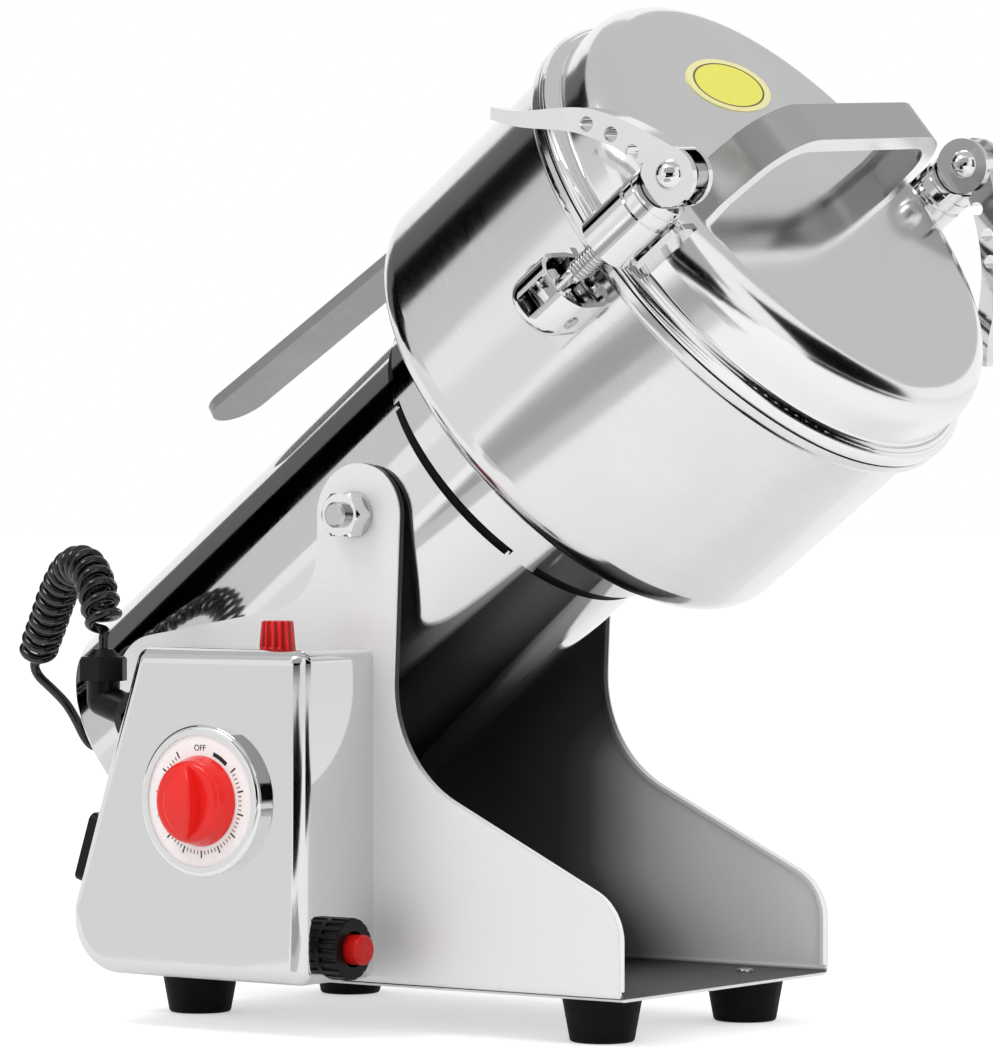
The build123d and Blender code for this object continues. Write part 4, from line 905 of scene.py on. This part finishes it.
def makeFloor(setup):
    # keeps the shadow, and looks paler to the camera and in reflections
    reach = setup["floorReach"]
    corners = [(-reach, -reach, 0), (reach, -reach, 0), (reach, reach, 0), (-reach, reach, 0)]
    floor = meshObject("floor", corners, [(0, 1, 2, 3)], False)
    floor.location.z = -setup["floorDrop"]
    material, tree = emptyMaterial("paleFloor")
    path = addNode(tree, "ShaderNodeLightPath")
    seen = mathNode(tree, "MULTIPLY", setup["cameraLift"])
    lift = mathNode(tree, "MULTIPLY_ADD", setup["glossLift"])
    diffuse = addNode(tree, "ShaderNodeBsdfDiffuse", Color=(*setup["floor"], 1))
    glow = addNode(tree, "ShaderNodeEmission", Color=(1, 1, 1, 1))
    both = addNode(tree, "ShaderNodeAddShader")
    out = addNode(tree, "ShaderNodeOutputMaterial")
    go = tree.links.new
    go(path.outputs["Is Camera Ray"], seen.inputs[0])
    go(path.outputs["Is Glossy Ray"], lift.inputs[0])
    go(seen.outputs[0], lift.inputs[2])
    go(lift.outputs[0], glow.inputs["Strength"])
    go(diffuse.outputs[0], both.inputs[0])
    go(glow.outputs[0], both.inputs[1])
    go(both.outputs[0], out.inputs["Surface"])
    floor.data.materials.append(material)


makeWorld(studioSetup)
makeFloor(studioSetup)

# lights, in metres and watts
lightAim = (0, 0, 0.2)
lights = {
    "keyLamp": {"spot": (-0.6, -1.5, 2.4), "width": 1.0, "height": 0.7, "watts": 16, "glossy": True},
    "sideLamp": {"spot": (2.2, -0.6, 1.2), "width": 1.0, "height": 1.4, "watts": 6, "glossy": False},
}


def areaLight(name, setup):
    data = bpy.data.lights.new(name, "AREA")
    data.shape = "RECTANGLE"
    data.size, data.size_y, data.energy = setup["width"], setup["height"], setup["watts"]
    light = link(bpy.data.objects.new(name, data))
    light.visible_glossy = setup["glossy"]
    back = (Vector(setup["spot"]) - Vector(lightAim)).normalized()
    turned = back.to_track_quat("Z", "Y").to_matrix().to_4x4()
    light.matrix_world = Matrix.Translation(setup["spot"]) @ turned


for name, setup in lights.items():
    areaLight(name, setup)

# panels that show only in reflections: curved ones between two turns and two rises, in degrees,
# and flat ones between two corners at a height, in metres
cardSetup = {"distance": 3.0, "eyeHeight": 0.2, "lowest": 0.01, "steps": 8}
curvedCards = {
    "leftBlack": {"turns": (178, 202), "rises": (2, 50), "shade": 0.0},
    "leftGrey": {"turns": (156, 178), "rises": (4, 50), "shade": 0.14},
    "leftPale": {"turns": (202, 226), "rises": (3, 45), "shade": 0.68},
    "frontBlack": {"turns": (268, 318), "rises": (-3, 13), "shade": 0.0},
    "frontGrey": {"turns": (250, 330), "rises": (13, 50), "shade": 0.45},
    "rightBlack": {"turns": (-2, 44), "rises": (-3, 30), "shade": 0.0},
    "backGrey": {"turns": (50, 112), "rises": (16, 60), "shade": 0.6},
}
flatCards = {
    "floorGrey": {"low": (-0.1, -0.66), "high": (0.34, -0.45), "height": 0.003, "shade": 0.42},
    "floorPale": {"low": (-0.12, -0.76), "high": (0.36, -0.36), "height": 0.002, "shade": 0.66},
    "leftFloor": {"low": (-3.6, -5.0), "high": (-0.2, -0.34), "height": 0.001, "shade": 0.88},
    "floorBlack": {"low": (-0.05, -3.0), "high": (1.9, -0.95), "height": 0.002, "shade": 0.0},
    "rightFloor": {"low": (1.2, -0.15), "high": (3.0, 1.2), "height": 0.002, "shade": 0.0},
    "topGrey": {"low": (-2.6, -1.2), "high": (2.6, 2.6), "height": 3.0, "shade": 0.6},
}


def curvedCard(name, setup, shared):
    verts, faces, steps, distance = [], [], shared["steps"], shared["distance"]
    start, end = setup["turns"]
    for k in range(steps + 1):
        turn = math.radians(start + (end - start) * k / steps)
        for rise in setup["rises"]:
            height = max(shared["eyeHeight"] + distance * math.tan(math.radians(rise)), shared["lowest"])
            verts.append((distance * math.cos(turn), distance * math.sin(turn), height))
    for k in range(steps):
        faces.append((2 * k, 2 * k + 1, 2 * k + 3, 2 * k + 2))
    return meshObject(name, verts, faces, False)


def flatCard(name, setup):
    (left, front), (right, back), height = setup["low"], setup["high"], setup["height"]
    verts = [(left, front, height), (right, front, height), (right, back, height), (left, back, height)]
    return meshObject(name, verts, [(0, 1, 2, 3)], False)


def finishCard(card, shade):
    material, tree = emptyMaterial(card.name)
    glow = addNode(tree, "ShaderNodeEmission", Color=(1, 1, 1, 1), Strength=shade)
    out = addNode(tree, "ShaderNodeOutputMaterial")
    tree.links.new(glow.outputs[0], out.inputs["Surface"])
    card.data.materials.append(material)
    card.visible_camera = False
    card.visible_diffuse = False
    card.visible_shadow = False


for name, setup in curvedCards.items():
    finishCard(curvedCard(name, setup, cardSetup), setup["shade"])
for name, setup in flatCards.items():
    finishCard(flatCard(name, setup), setup["shade"])
print("studio lit")
